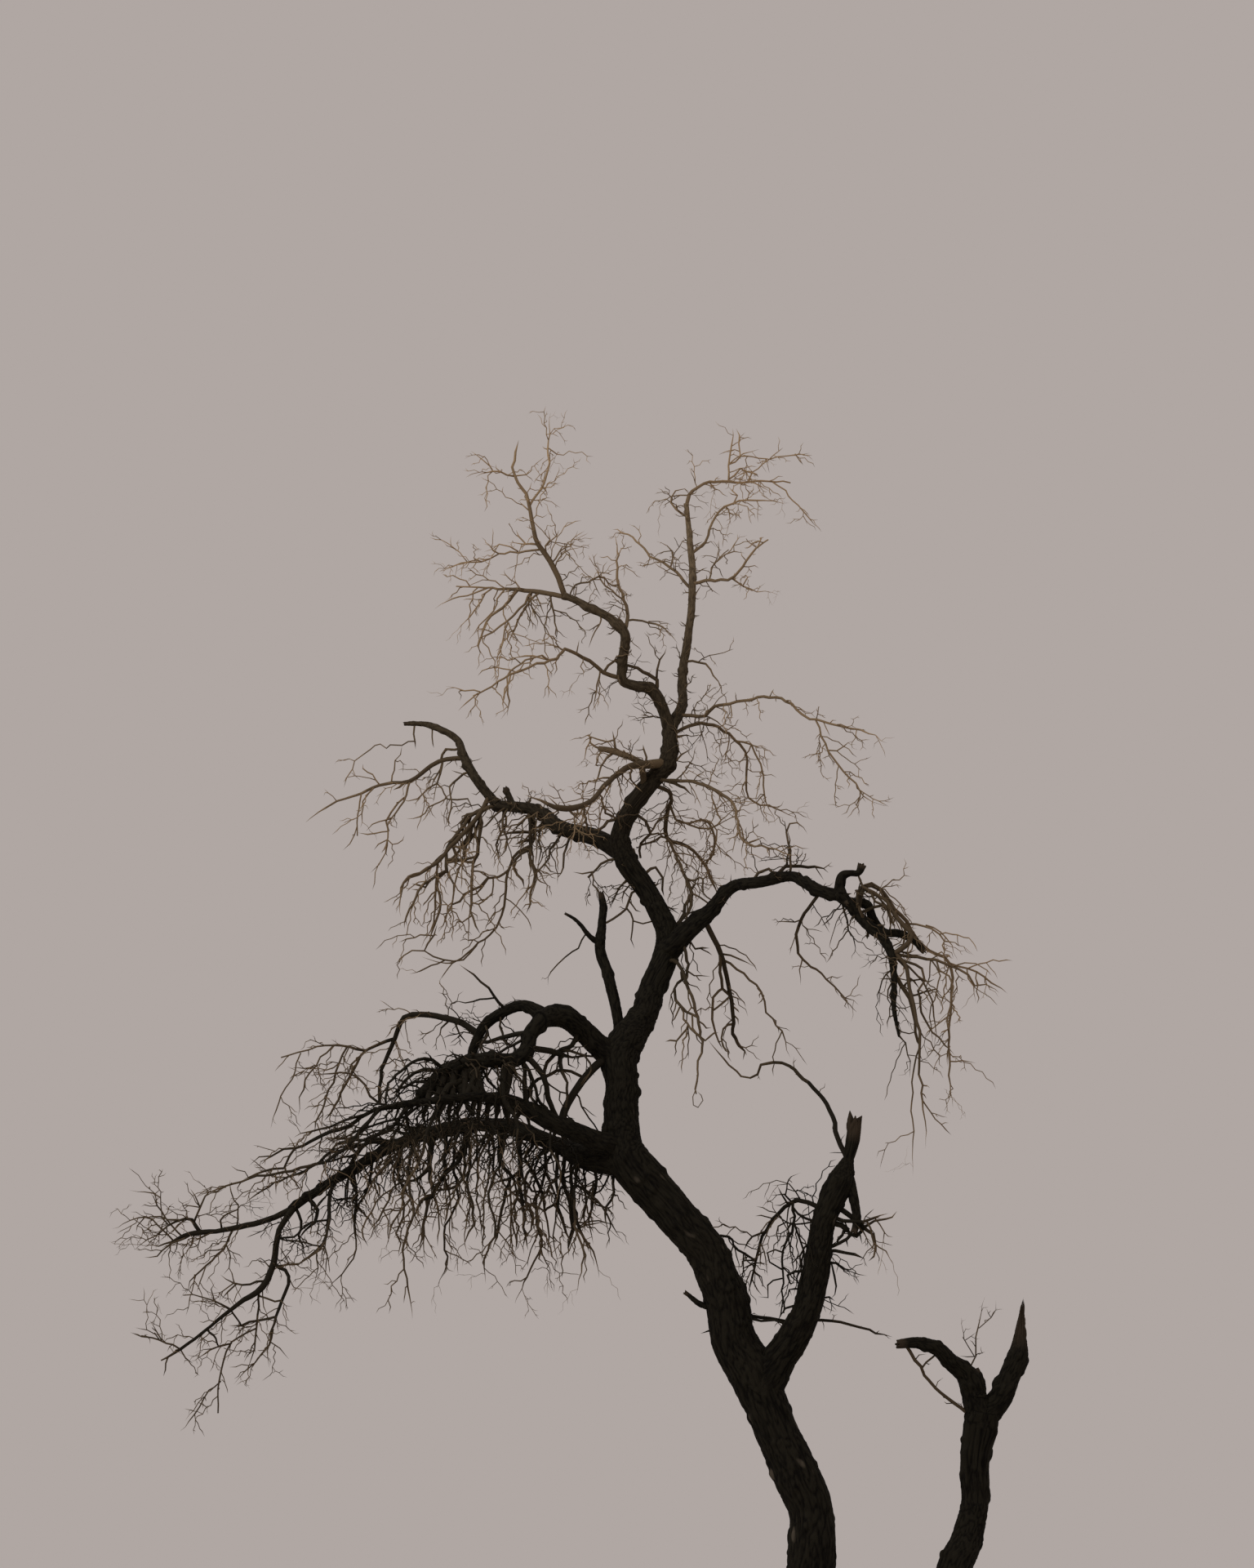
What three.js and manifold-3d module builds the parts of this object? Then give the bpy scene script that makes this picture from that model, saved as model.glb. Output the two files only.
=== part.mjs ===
// A bare winter tree in millimetres, +Z up, standing on the ground at z = 0: a crooked trunk and a
// second stem from the same foot, boughs that arch over, dead snags, and masses of leafless twigs.
import * as THREE from "three";
import { mergeVertices } from "three/addons/utils/BufferGeometryUtils.js";
import Module from "manifold-3d";

const wasm = await Module();
wasm.setup();

// The tree is looked at from here. Every place below is written as it is seen from this point against
// the upright plane through the trunk's foot, as x and z, and is then moved along the line of sight.
const EYE = new THREE.Vector3(-930, -13300, 1600);

// Limbs and twigs
const TRUNK_SIDES = 12;
const BOUGH_SIDES = 8;
const STEM_SIDES = 5;
const TWIG_SIDES = 3;
const TWIG_FULLNESS = 1.2;
const THICK_STEM = 12;
const CLEARANCE = 0.4;
const SAFE_DISTANCE = 3;
const ROOT_SHARE = 0.85;
const ROOT_TRIES = 8;
const SUNK_IN_TIP = 0.7;
const NO_LIMB_HEADS = new THREE.Vector3(0.31, 0.87, 0.38);

// The foot of the trunk
const FLARE_SHARE = 0.66;
const FLARE_HEIGHT = 170;
const FLARE_LOBES = 5;
const FLARE_LOBE_DEPTH = 0.16;
const GROUND_CUT = 900;

// The twigs' rule: one twig at each bend of its parent, turned on by the golden angle
const GOLDEN_ANGLE = THREE.MathUtils.degToRad(137.5);
const TURN_PLAY = 2;
const ANGLE_PLAY = 0.25;
const SHORTEST_SHARE = 0.55;
const SHORTER_AT_TIP = 0.45;
const TWIG_TAPER = 0.3;
const DOWN = new THREE.Vector3(0, 0, -1);
const WEEPING = { length: 340, step: 130, droop: 0.6, kink: 0.45, angle: 0.95, radius: 4, every: 2 };
const ARCHING = { length: 270, step: 120, droop: 0.25, kink: 0.5, angle: 0.95, radius: 4, every: 2 };
const SPURRED = { length: 180, step: 90, droop: 0.1, kink: 0.5, angle: 1.1, radius: 3.5, every: 2 };
const SPARSE = { length: 130, step: 65, droop: 0.15, kink: 0.5, angle: 1.1, radius: 3.5, every: 3 };

const bark = new THREE.MeshStandardMaterial({ color: 0x1a1611, roughness: 0.95, metalness: 0 });
const twigBark = new THREE.MeshStandardMaterial({ color: 0x4a3d2e, roughness: 0.9, metalness: 0 });

// Random numbers that are the same every time
function chance(seed) {
  let state = seed;
  const next = () => {
    state = (state * 16807) % 2147483647;
    return state / 2147483647;
  };
  next();
  next();
  return next;
}

function seedOf(parentSeed, index) {
  return ((parentSeed * 48271 + index * 69621) % 2147483646) + 1;
}

// A size out of a short list that is spread evenly over a limb
function spread(sizes, share) {
  const place = share * (sizes.length - 1);
  const index = Math.min(Math.floor(place), sizes.length - 2);
  return THREE.MathUtils.lerp(sizes[index], sizes[index + 1], place - index);
}

function seen(x, z, depth) {
  const share = (depth - EYE.y) / -EYE.y;
  return new THREE.Vector3(EYE.x + (x - EYE.x) * share, depth, EYE.z + (z - EYE.z) * share);
}

// How far a point lies from the place x, z, as seen
function missesBy(point, x, z) {
  const share = (point.y - EYE.y) / -EYE.y;
  return Math.hypot((point.x - EYE.x) / share + EYE.x - x, (point.z - EYE.z) / share + EYE.z - z);
}

// The point and radius on a limb's axis that is seen nearest to the place x, z
function rootOn(parent, x, z) {
  const reach = parent.points.length - 1;
  let best = { miss: Infinity };
  for (let tried = 0; tried <= reach * ROOT_TRIES; tried += 1) {
    const index = Math.min(Math.floor(tried / ROOT_TRIES), reach - 1);
    const share = tried / ROOT_TRIES - index;
    const point = parent.points[index].clone().lerp(parent.points[index + 1], share);
    const radius = THREE.MathUtils.lerp(parent.radii[index], parent.radii[index + 1], share);
    const miss = missesBy(point, x, z);
    if (miss < best.miss) {
      best = { miss, point, radius, tried };
    }
  }
  if (best.tried === reach * ROOT_TRIES) {
    const last = parent.points[reach];
    const back = parent.points[reach - 1].clone().sub(last).normalize();
    best.point = last.clone().addScaledVector(back, parent.radii[reach] * SUNK_IN_TIP);
  }
  return best;
}

// The bends of a limb: it starts on its parent's axis, and its depths count from there
function bendsOf(parent, { places, depths, radii }) {
  const last = places.length - 1;
  const root = parent ? rootOn(parent, ...places[0]) : { point: seen(...places[0], 0), radius: Infinity };
  const points = places.map(([x, z], index) => seen(x, z, root.point.y + spread(depths, index / last)));
  points[0] = root.point;
  const sizes = places.map((place, index) => Math.min(spread(radii, index / last), root.radius * ROOT_SHARE));
  return { points, radii: sizes };
}

// The direction of a line at each of its points
function headings({ points }) {
  return points.map((point, index) => {
    const before = points[Math.max(index - 1, 0)];
    const after = points[Math.min(index + 1, points.length - 1)];
    const ahead = after.clone().sub(point).normalize();
    const behind = point.clone().sub(before).normalize();
    return ahead.add(behind).normalize();
  });
}

// A closed solid from a geometry, with its shared corners merged and its empty faces dropped
function solidOf(geometry) {
  geometry.deleteAttribute("normal");
  geometry.deleteAttribute("uv");
  const merged = mergeVertices(geometry);
  const corners = merged.index.array;
  const triVerts = [];
  for (let index = 0; index < corners.length; index += 3) {
    const [a, b, c] = corners.slice(index, index + 3);
    if (a !== b && b !== c && c !== a) {
      triVerts.push(a, b, c);
    }
  }
  const vertProperties = new Float32Array(merged.attributes.position.array);
  return new wasm.Manifold(new wasm.Mesh({ numProp: 3, vertProperties, triVerts: new Uint32Array(triVerts) }));
}

// A tapering tube: a turned profile with one ring for each point of the line, laid along the line.
// The margin makes the same tube a little larger all round, which cuts its neighbours clear of it.
function tube(line, sides, margin = 0, swell = () => 1) {
  const last = line.points.length - 1;
  const profile = line.radii.map((radius, index) => new THREE.Vector2(radius + margin, index));
  profile.unshift(new THREE.Vector2(0, 0));
  profile.push(new THREE.Vector2(0, last));
  const geometry = new THREE.LatheGeometry(profile, sides);
  const along = headings(line);
  const centres = line.points.map((point) => point.clone());
  centres[0].addScaledVector(along[0], -margin);
  centres[last].addScaledVector(along[last], margin);
  const across = [NO_LIMB_HEADS];
  for (let index = 0; index <= last; index += 1) {
    const side = across[Math.max(index - 1, 0)].clone();
    across[index] = side.addScaledVector(along[index], -side.dot(along[index])).normalize();
  }
  const position = geometry.attributes.position;
  const local = new THREE.Vector3();
  for (let corner = 0; corner < position.count; corner += 1) {
    local.fromBufferAttribute(position, corner);
    const ring = Math.round(local.y);
    const third = across[ring].clone().cross(along[ring]);
    const size = swell(Math.atan2(local.x, local.z), centres[ring].z);
    const place = centres[ring].clone();
    place.addScaledVector(across[ring], local.x * size);
    place.addScaledVector(third, local.z * size);
    position.setXYZ(corner, place.x, place.y, place.z);
  }
  return solidOf(geometry);
}

// The body itself, without loose scraps and with any sealed hollow filled
function largest(solid) {
  const bodies = solid.decompose();
  return bodies.reduce((best, body) => (body.volume() > best.volume() ? body : best));
}

// What has been built: cutters of the limbs, and the round rods that twigs stay clear of
const tree = new THREE.Group();
const cutters = [];
const rods = [];

function addRods(line, owner) {
  for (let index = 1; index < line.points.length; index += 1) {
    const [start, end] = [line.points[index - 1], line.points[index]];
    const radius = Math.max(line.radii[index - 1], line.radii[index]) * TWIG_FULLNESS;
    const middle = start.clone().lerp(end, 0.5);
    rods.push({ start, end, radius, owner, middle, half: start.distanceTo(end) / 2 });
  }
}

// The shortest distance between two straight rods' axes
function rodDistance(one, other) {
  const u = one.end.clone().sub(one.start);
  const v = other.end.clone().sub(other.start);
  const w = one.start.clone().sub(other.start);
  const [uu, uv, vv, uw, vw] = [u.dot(u), u.dot(v), v.dot(v), u.dot(w), v.dot(w)];
  const det = uu * vv - uv * uv;
  let s = det > 1e-6 ? THREE.MathUtils.clamp((uv * vw - vv * uw) / det, 0, 1) : 0;
  const t = THREE.MathUtils.clamp((uv * s + vw) / vv, 0, 1);
  s = THREE.MathUtils.clamp((uv * t - uw) / uu, 0, 1);
  return w.addScaledVector(u, s).addScaledVector(v, -t).length();
}

// Whether a twig's line comes too near any rod but its own parent's
function touches(line, parentOwner) {
  for (let index = 1; index < line.points.length; index += 1) {
    const [start, end] = [line.points[index - 1], line.points[index]];
    const rod = { start, end };
    const middle = start.clone().lerp(end, 0.5);
    const half = start.distanceTo(end) / 2;
    for (const other of rods) {
      const room = line.radii[0] * TWIG_FULLNESS + other.radius + SAFE_DISTANCE;
      if (other.owner !== parentOwner && middle.distanceTo(other.middle) < half + other.half + room) {
        if (rodDistance(rod, other) < room) {
          return true;
        }
      }
    }
  }
  return false;
}

function boxesMeet(one, other) {
  return one.min.every((low, axis) => low <= other.max[axis] && other.min[axis] <= one.max[axis]);
}

function cutClear(solid) {
  let kept = solid;
  for (const cutter of cutters) {
    if (boxesMeet(kept.boundingBox(), cutter.boundingBox())) {
      kept = kept.subtract(cutter);
    }
  }
  return largest(kept);
}

function addNode(name, solid, material) {
  const { vertProperties, triVerts } = solid.getMesh();
  const geometry = new THREE.BufferGeometry();
  geometry.setAttribute("position", new THREE.BufferAttribute(vertProperties, 3));
  geometry.setIndex(new THREE.BufferAttribute(triVerts, 1));
  geometry.computeVertexNormals();
  const mesh = new THREE.Mesh(geometry, material);
  mesh.name = name;
  tree.add(mesh);
}

// One limb is one solid, with any short stubs on it fused on
function limb(name, parent, shape, { sides = BOUGH_SIDES, swell, stubs = [], trim } = {}) {
  const line = bendsOf(parent, shape);
  const parts = [line, ...stubs.map((stub) => bendsOf(line, stub))];
  const tubes = (margin) => parts.map((part) => tube(part, part === line ? sides : STEM_SIDES, margin, swell));
  const made = (margin) => wasm.Manifold.union(tubes(margin));
  const solid = trim ? made(0).subtract(trim) : made(0);
  addNode(name, cutClear(solid), bark);
  cutters.push(made(CLEARANCE));
  parts.forEach((part) => addRods(part, line));
  return line;
}

// A twig by the rule, or nothing where it would touch its neighbours
function ruleTwig(parent, index, seed, habit) {
  const next = chance(seed);
  const start = parent.points[index];
  const along = headings(parent)[index];
  const across = new THREE.Vector3(along.y, -along.x, 0.02).normalize();
  const side = across.applyAxisAngle(along, GOLDEN_ANGLE * index + TURN_PLAY * next());
  const angle = habit.angle * (1 + ANGLE_PLAY * (2 * next() - 1));
  const heading = along.clone().multiplyScalar(Math.cos(angle)).addScaledVector(side, Math.sin(angle));
  const share = index / (parent.points.length - 1);
  const play = SHORTEST_SHARE + (1 - SHORTEST_SHARE) * next();
  const length = habit.length * (1 - SHORTER_AT_TIP * share) * play;
  const steps = Math.max(2, Math.round(length / habit.step));
  const points = [start];
  for (let step = 0; step < steps; step += 1) {
    const kink = new THREE.Vector3(next() - 0.5, next() - 0.5, next() - 0.5);
    heading.addScaledVector(DOWN, habit.droop).addScaledVector(kink, habit.kink * 2).normalize();
    points.push(points[step].clone().addScaledVector(heading, length / steps));
  }
  const thick = Math.min(habit.radius, parent.radii[index] * ROOT_SHARE);
  const radii = points.map((point, step) => (step < steps ? thick * (1 - TWIG_TAPER * (step / steps)) : 0));
  return { points, radii };
}

function pointed({ points, radii }) {
  return { points, radii: radii.with(-1, 0) };
}

// A mass is one stem with arms placed by hand and twigs by the rule, all fused
const masses = [];

function mass(name, parent, habit, shape, arms = []) {
  const stem = pointed(bendsOf(parent, shape));
  const lines = [stem];
  addRods(stem, stem);
  for (const arm of arms) {
    const line = pointed(bendsOf(lines[arm.on ?? 0], arm));
    lines.push(line);
    addRods(line, stem);
  }
  masses.push({ name, habit, lines, stem });
}

function growMasses() {
  masses.forEach(({ name, habit, lines, stem }, number) => {
    const twigs = [];
    lines.forEach((line, order) => {
      for (let index = 1; index < line.points.length - 1; index += habit.every) {
        const twig = ruleTwig(line, index, seedOf(seedOf(number + 1, order), index), habit);
        if (!touches(twig, stem)) {
          twigs.push(twig);
          addRods(twig, twig);
        }
      }
    });
    const solids = [...lines, ...twigs].map((line) => {
      const sides = line.radii[0] >= THICK_STEM ? STEM_SIDES : TWIG_SIDES;
      const fullness = sides === TWIG_SIDES ? TWIG_FULLNESS : 1;
      return tube({ points: line.points, radii: line.radii.map((radius) => radius * fullness) }, sides);
    });
    addNode(name, cutClear(wasm.Manifold.union(solids)), twigBark);
    cutters.push(tube({ points: stem.points.slice(0, 3), radii: stem.radii.slice(0, 3) }, STEM_SIDES, CLEARANCE));
  });
}

// The trunk, with lobes where it spreads into its roots, cut flat at the ground
const ground = solidOf(new THREE.BoxGeometry(GROUND_CUT, GROUND_CUT, GROUND_CUT).translate(0, 0, -GROUND_CUT / 2));

function flare(angle, height) {
  const spreadOut = FLARE_SHARE * Math.exp(-Math.max(height, 0) / FLARE_HEIGHT);
  return 1 + spreadOut * (1 + FLARE_LOBE_DEPTH * Math.cos(FLARE_LOBES * angle));
}

const trunk = limb("trunk", null, {
  places: [
    [0, -60], [0, 60], [-4, 220], [-12, 420], [-30, 800], [-28, 1200], [-10, 1450], [-5, 1600], [-66, 1800],
    [-157, 2000], [-240, 2180], [-290, 2330], [-385, 2500], [-418, 2680], [-507, 2900], [-667, 3100],
    [-830, 3280], [-935, 3420], [-950, 3600], [-958, 3800], [-970, 3930], [-915, 4040], [-840, 4160],
    [-795, 4300], [-722, 4470], [-713, 4600], [-800, 4790], [-925, 4980], [-962, 5110], [-905, 5290],
    [-810, 5410], [-725, 5510], [-690, 5630], [-690, 5757],
  ],
  depths: [0, 0, 0, 10, 30, 50, 60, 30, -20, -60, -70, -40, 10, 50, 60, 40, 10, 0],
  radii: [
    150, 148, 145, 142, 132, 122, 118, 110, 116, 106, 112, 126, 112, 110, 103, 103,
    108, 108, 90, 86, 98, 92, 70, 66, 68, 60, 55, 58, 50, 46, 50, 47, 42, 38,
  ],
}, {
  sides: TRUNK_SIDES,
  swell: flare,
  trim: ground,
  stubs: [{ places: [[-418, 2650], [-525, 2650], [-635, 2720]], depths: [0, -30], radii: [20, 10] }],
});

// The second stem leaves the trunk's foot and ends in a torn arm and a splintered spike
const secondStem = limb("second_stem", trunk, {
  places: [
    [-6, 260], [210, 500], [440, 830], [610, 1150], [708, 1400], [763, 1500], [812, 1700], [820, 1880],
    [852, 2040], [873, 2130],
  ],
  depths: [0, 60, 160, 240, 260, 230],
  radii: [95, 98, 92, 87, 85, 77, 67, 72, 86, 84],
});
limb("second_stem_spike", secondStem, {
  places: [[880, 2090], [955, 2200], [1000, 2300], [1046, 2400], [1060, 2500], [1075, 2650]],
  depths: [0, 40, 90],
  radii: [62, 54, 48, 46, 28, 3],
});
const tornArm = limb("second_stem_torn_arm", secondStem, {
  places: [[862, 2090], [822, 2230], [795, 2310], [716, 2372], [630, 2440], [550, 2465], [445, 2460]],
  depths: [0, -40, -120, -160],
  radii: [64, 58, 52, 34, 29, 25, 18],
});

// The snag on the trunk, with a strip of wood torn loose and hanging
const snag = limb("snag", trunk, {
  places: [
    [-255, 2240], [-150, 2400], [-20, 2600], [35, 2800], [62, 3000], [92, 3110], [180, 3290],
    [223, 3400], [254, 3500], [272, 3600],
  ],
  depths: [0, -110, -160, -190, -200],
  radii: [96, 84, 72, 72, 61, 60, 64, 36, 38, 16],
}, {
  stubs: [{
    places: [[205, 3340], [244, 3190], [256, 3100], [240, 3020]],
    depths: [0, -30],
    radii: [30, 20, 14],
  }],
});

// The two low boughs to the left
const lowBough = limb("low_bough", trunk, {
  places: [
    [-940, 3380], [-1100, 3400], [-1265, 3465], [-1495, 3550], [-1720, 3580], [-1925, 3540],
    [-2105, 3480], [-2290, 3380], [-2490, 3260], [-2660, 3140],
  ],
  depths: [0, 60, 270, 430, 520, 770, 890, 1050],
  radii: [80, 66, 42, 40, 36, 35, 31, 28, 25, 22],
});
const upperLowBough = limb("upper_low_bough", trunk, {
  places: [
    [-945, 3450], [-1090, 3500], [-1330, 3595], [-1520, 3690], [-1690, 3720], [-1925, 3705],
    [-2220, 3660],
  ],
  depths: [0, -110, -290, -340, -580, -720, -820],
  radii: [50, 37, 30, 26, 22, 18, 12],
});

// The arch over the low boughs: its rise, its branch, and the knotted limb it comes down to
const archBough = limb("arch_bough", trunk, {
  places: [[-975, 3900], [-1080, 3995], [-1185, 4105], [-1257, 4145], [-1326, 4150], [-1385, 4132]],
  depths: [0, -50, -180, -210, -330],
  radii: [70, 56, 55, 57, 54, 46],
});
const knottedLimb = limb("knotted_limb", archBough, {
  places: [
    [-1385, 4132], [-1438, 4055], [-1455, 3970], [-1520, 3918], [-1640, 3915], [-1800, 3890],
    [-1890, 3840], [-1950, 3770], [-2010, 3730],
  ],
  depths: [0, -30, -60, -190, -200, -300],
  radii: [44, 40, 40, 44, 45, 50, 44, 38, 28],
});
const archBranch = limb("arch_branch", archBough, {
  places: [[-1350, 4148], [-1458, 4205], [-1545, 4190], [-1675, 4105], [-1728, 3995], [-1745, 3930]],
  depths: [0, 60, 140, 170],
  radii: [36, 28, 27, 27, 25, 22],
});

// The dead upright stub
limb("dead_stub", trunk, {
  places: [
    [-955, 3960], [-975, 4100], [-1000, 4250], [-1037, 4400], [-1068, 4510], [-1066, 4630],
    [-1057, 4735], [-1070, 4815],
  ],
  depths: [0, 60, 110, 90],
  radii: [48, 28, 29, 30, 29, 22, 20, 15],
}, {
  stubs: [{
    places: [[-1070, 4545], [-1115, 4568], [-1200, 4668], [-1258, 4705]],
    depths: [0, -60],
    radii: [16, 12, 6],
  }],
});

// The right bough, split at its bend
const rightBough = limb("right_bough", trunk, {
  places: [
    [-722, 4490], [-640, 4572], [-505, 4695], [-365, 4845], [-215, 4875], [-60, 4908], [22, 4866],
    [120, 4822], [222, 4803],
  ],
  depths: [0, -90, -130, -310, -350, -500, -520],
  radii: [62, 52, 41, 32, 29, 26, 28, 30, 31],
}, {
  stubs: [{
    places: [[195, 4805], [220, 4885], [285, 4928], [322, 4975]],
    depths: [0, 20],
    radii: [26, 26, 15, 19],
  }],
});
const rightBoughTip = limb("right_bough_tip", rightBough, {
  places: [
    [222, 4803], [268, 4745], [330, 4660], [425, 4578], [470, 4490], [482, 4350], [478, 4185],
    [500, 4040],
  ],
  depths: [0, -60, -160, -220],
  radii: [30, 30, 34, 29, 20, 16, 12, 6],
}, {
  stubs: [
    {
      places: [
        [245, 4775], [345, 4755], [375, 4680], [440, 4605], [520, 4592], [600, 4555], [650, 4495],
      ],
      depths: [0, 100, 160],
      radii: [22, 24, 18, 22, 14],
    },
  ],
});

// The left bough, split at its bend
const leftBough = limb("left_bough", trunk, {
  places: [
    [-945, 5020], [-1030, 5090], [-1115, 5125], [-1310, 5190], [-1375, 5250], [-1440, 5280],
    [-1530, 5290], [-1640, 5306],
  ],
  depths: [0, 110, 160, 330, 380, 480],
  radii: [58, 50, 45, 40, 38, 33, 30, 31],
}, {
  stubs: [{ places: [[-1545, 5290], [-1560, 5340], [-1582, 5395]], depths: [0, 30], radii: [20, 15] }],
});
const leftBoughTip = limb("left_bough_tip", leftBough, {
  places: [
    [-1640, 5306], [-1710, 5400], [-1772, 5490], [-1815, 5590], [-1850, 5670], [-1985, 5748],
    [-2140, 5760],
  ],
  depths: [0, 100, 200, 260],
  radii: [30, 26, 27, 25, 20, 17, 11],
});

// The two stems at the top
const rightTopStem = limb("right_top_stem", trunk, {
  places: [
    [-690, 5745], [-645, 5820], [-622, 5915], [-627, 6000], [-588, 6310], [-566, 6570], [-570, 6715],
    [-590, 6965], [-597, 7045],
  ],
  depths: [0, 50, 150, 130, 250, 230],
  radii: [34, 29, 26, 25, 22, 20, 18, 14, 13],
});
const leftTopStem = limb("left_top_stem", trunk, {
  places: [
    [-692, 5725], [-730, 5835], [-768, 5925], [-805, 5968], [-887, 5980], [-950, 6005], [-955, 6090],
    [-940, 6200], [-940, 6280], [-1008, 6360], [-1100, 6415], [-1283, 6505],
  ],
  depths: [0, -60, -90, -170, -180, -260, -330, -340, -420],
  radii: [36, 31, 33, 32, 27, 26, 27, 26, 25, 22, 20, 18],
});

// The masses of twigs on the second stem and the snag
mass("second_stem_loop_twigs", secondStem, SPARSE, {
  places: [[840, 2140], [720, 2170], [655, 2220], [580, 2310], [535, 2385], [490, 2420]],
  depths: [0, -160],
  radii: [9, 6],
});
mass("second_stem_upright_twigs", tornArm, SPARSE, {
  places: [[800, 2300], [835, 2400], [862, 2540], [900, 2700]],
  depths: [0, 60],
  radii: [7, 4],
}, [
  { places: [[835, 2400], [790, 2480], [775, 2600]], depths: [0, -40], radii: [5, 3.5] },
  { places: [[862, 2540], [930, 2600], [955, 2680]], depths: [0, 40], radii: [5, 3.5] },
]);
mass("bridging_twig", trunk, SPARSE, {
  places: [
    [-412, 2600], [-290, 2600], [-160, 2580], [62, 2575], [165, 2568], [260, 2545], [340, 2520],
    [425, 2495],
  ],
  depths: [0, 150, 180, 200],
  radii: [10, 5],
});
mass("snag_left_twigs", snag, WEEPING, {
  places: [
    [95, 3150], [-30, 3185], [-78, 3177], [-148, 3120], [-195, 3065], [-243, 2970], [-268, 2880],
    [-290, 2790], [-310, 2710],
  ],
  depths: [0, 200, 380, 450],
  radii: [13, 5],
}, [
  {
    places: [[-70, 3178], [-70, 3065], [-113, 2960], [-135, 2850], [-132, 2730], [-130, 2615]],
    depths: [0, -60],
    radii: [8, 4],
  },
  { places: [[-74, 3085], [-20, 2930], [-55, 2800], [-80, 2700]], depths: [0, 60], radii: [6, 4], on: 1 },
  { places: [[-78, 3177], [-110, 3215], [-190, 3212]], depths: [0, -40], radii: [6, 4] },
]);
mass("snag_right_twigs", snag, ARCHING, {
  places: [[92, 3110], [190, 3085], [290, 3080], [350, 3092], [420, 3120]],
  depths: [0, -80, -140],
  radii: [12, 5],
}, [
  { places: [[305, 3083], [340, 2970], [310, 2915]], depths: [0, -60], radii: [6, 4] },
]);
mass("snag_arching_twig", snag, SPARSE, {
  places: [
    [215, 3385], [165, 3510], [143, 3620], [93, 3715], [-5, 3820], [-75, 3885], [-160, 3900], [-222, 3893],
    [-240, 3845], [-290, 3820], [-420, 3925], [-503, 4025],
  ],
  depths: [0, 200, 400, 550],
  radii: [14, 4],
});

// The curtain of hanging twigs under the low bough
mass("curtain_1_twigs", lowBough, WEEPING, {
  places: [[-1190, 3435], [-1195, 3300], [-1195, 3050], [-1150, 2900], [-1190, 2700]],
  depths: [0, -150, -350, -420],
  radii: [13, 4],
}, [
  {
    places: [[-1195, 3270], [-1080, 3190], [-1010, 3080], [-960, 2990]],
    depths: [0, -60],
    radii: [8, 4],
  },
  { places: [[-1195, 3060], [-1100, 2930], [-1070, 2790]], depths: [0, 80], radii: [6, 4] },
]);
mass("curtain_2_twigs", lowBough, WEEPING, {
  places: [[-1340, 3495], [-1350, 3330], [-1400, 3150], [-1370, 2950], [-1440, 2800], [-1500, 2660]],
  depths: [0, 200, 350],
  radii: [12, 4],
}, [
  {
    places: [[-1350, 3330], [-1290, 3180], [-1310, 3000], [-1270, 2830]],
    depths: [0, -100],
    radii: [7, 4],
  },
]);
mass("curtain_3_twigs", lowBough, WEEPING, {
  places: [[-1560, 3562], [-1580, 3400], [-1640, 3220], [-1600, 3040], [-1660, 2890], [-1650, 2760]],
  depths: [0, -180, -320],
  radii: [12, 4],
}, [
  {
    places: [[-1585, 3390], [-1500, 3240], [-1530, 3060], [-1510, 2880]],
    depths: [0, 120],
    radii: [7, 4],
  },
]);
mass("curtain_4_twigs", lowBough, WEEPING, {
  places: [[-1800, 3570], [-1830, 3380], [-1800, 3200], [-1870, 3020], [-1850, 2860], [-1900, 2740]],
  depths: [0, 150, 300],
  radii: [12, 4],
}, [
  {
    places: [[-1828, 3390], [-1740, 3230], [-1760, 3050], [-1740, 2890]],
    depths: [0, -120],
    radii: [7, 4],
  },
]);
mass("curtain_5_twigs", lowBough, WEEPING, {
  places: [[-2020, 3512], [-2060, 3340], [-2030, 3120], [-2080, 2930], [-2050, 2750], [-2020, 2580]],
  depths: [0, -200, -350],
  radii: [12, 4],
}, [
  {
    places: [[-2058, 3350], [-1960, 3200], [-1975, 3020], [-1950, 2850]],
    depths: [0, 120],
    radii: [7, 4],
  },
  { places: [[-2040, 3200], [-2130, 3080], [-2160, 2920]], depths: [0, -80], radii: [6, 4] },
]);
mass("curtain_6_twigs", lowBough, WEEPING, {
  places: [[-2430, 3298], [-2460, 3220], [-2460, 3095], [-2475, 2980], [-2570, 2890], [-2710, 2845]],
  depths: [0, -150, -300],
  radii: [10, 4],
});

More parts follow.
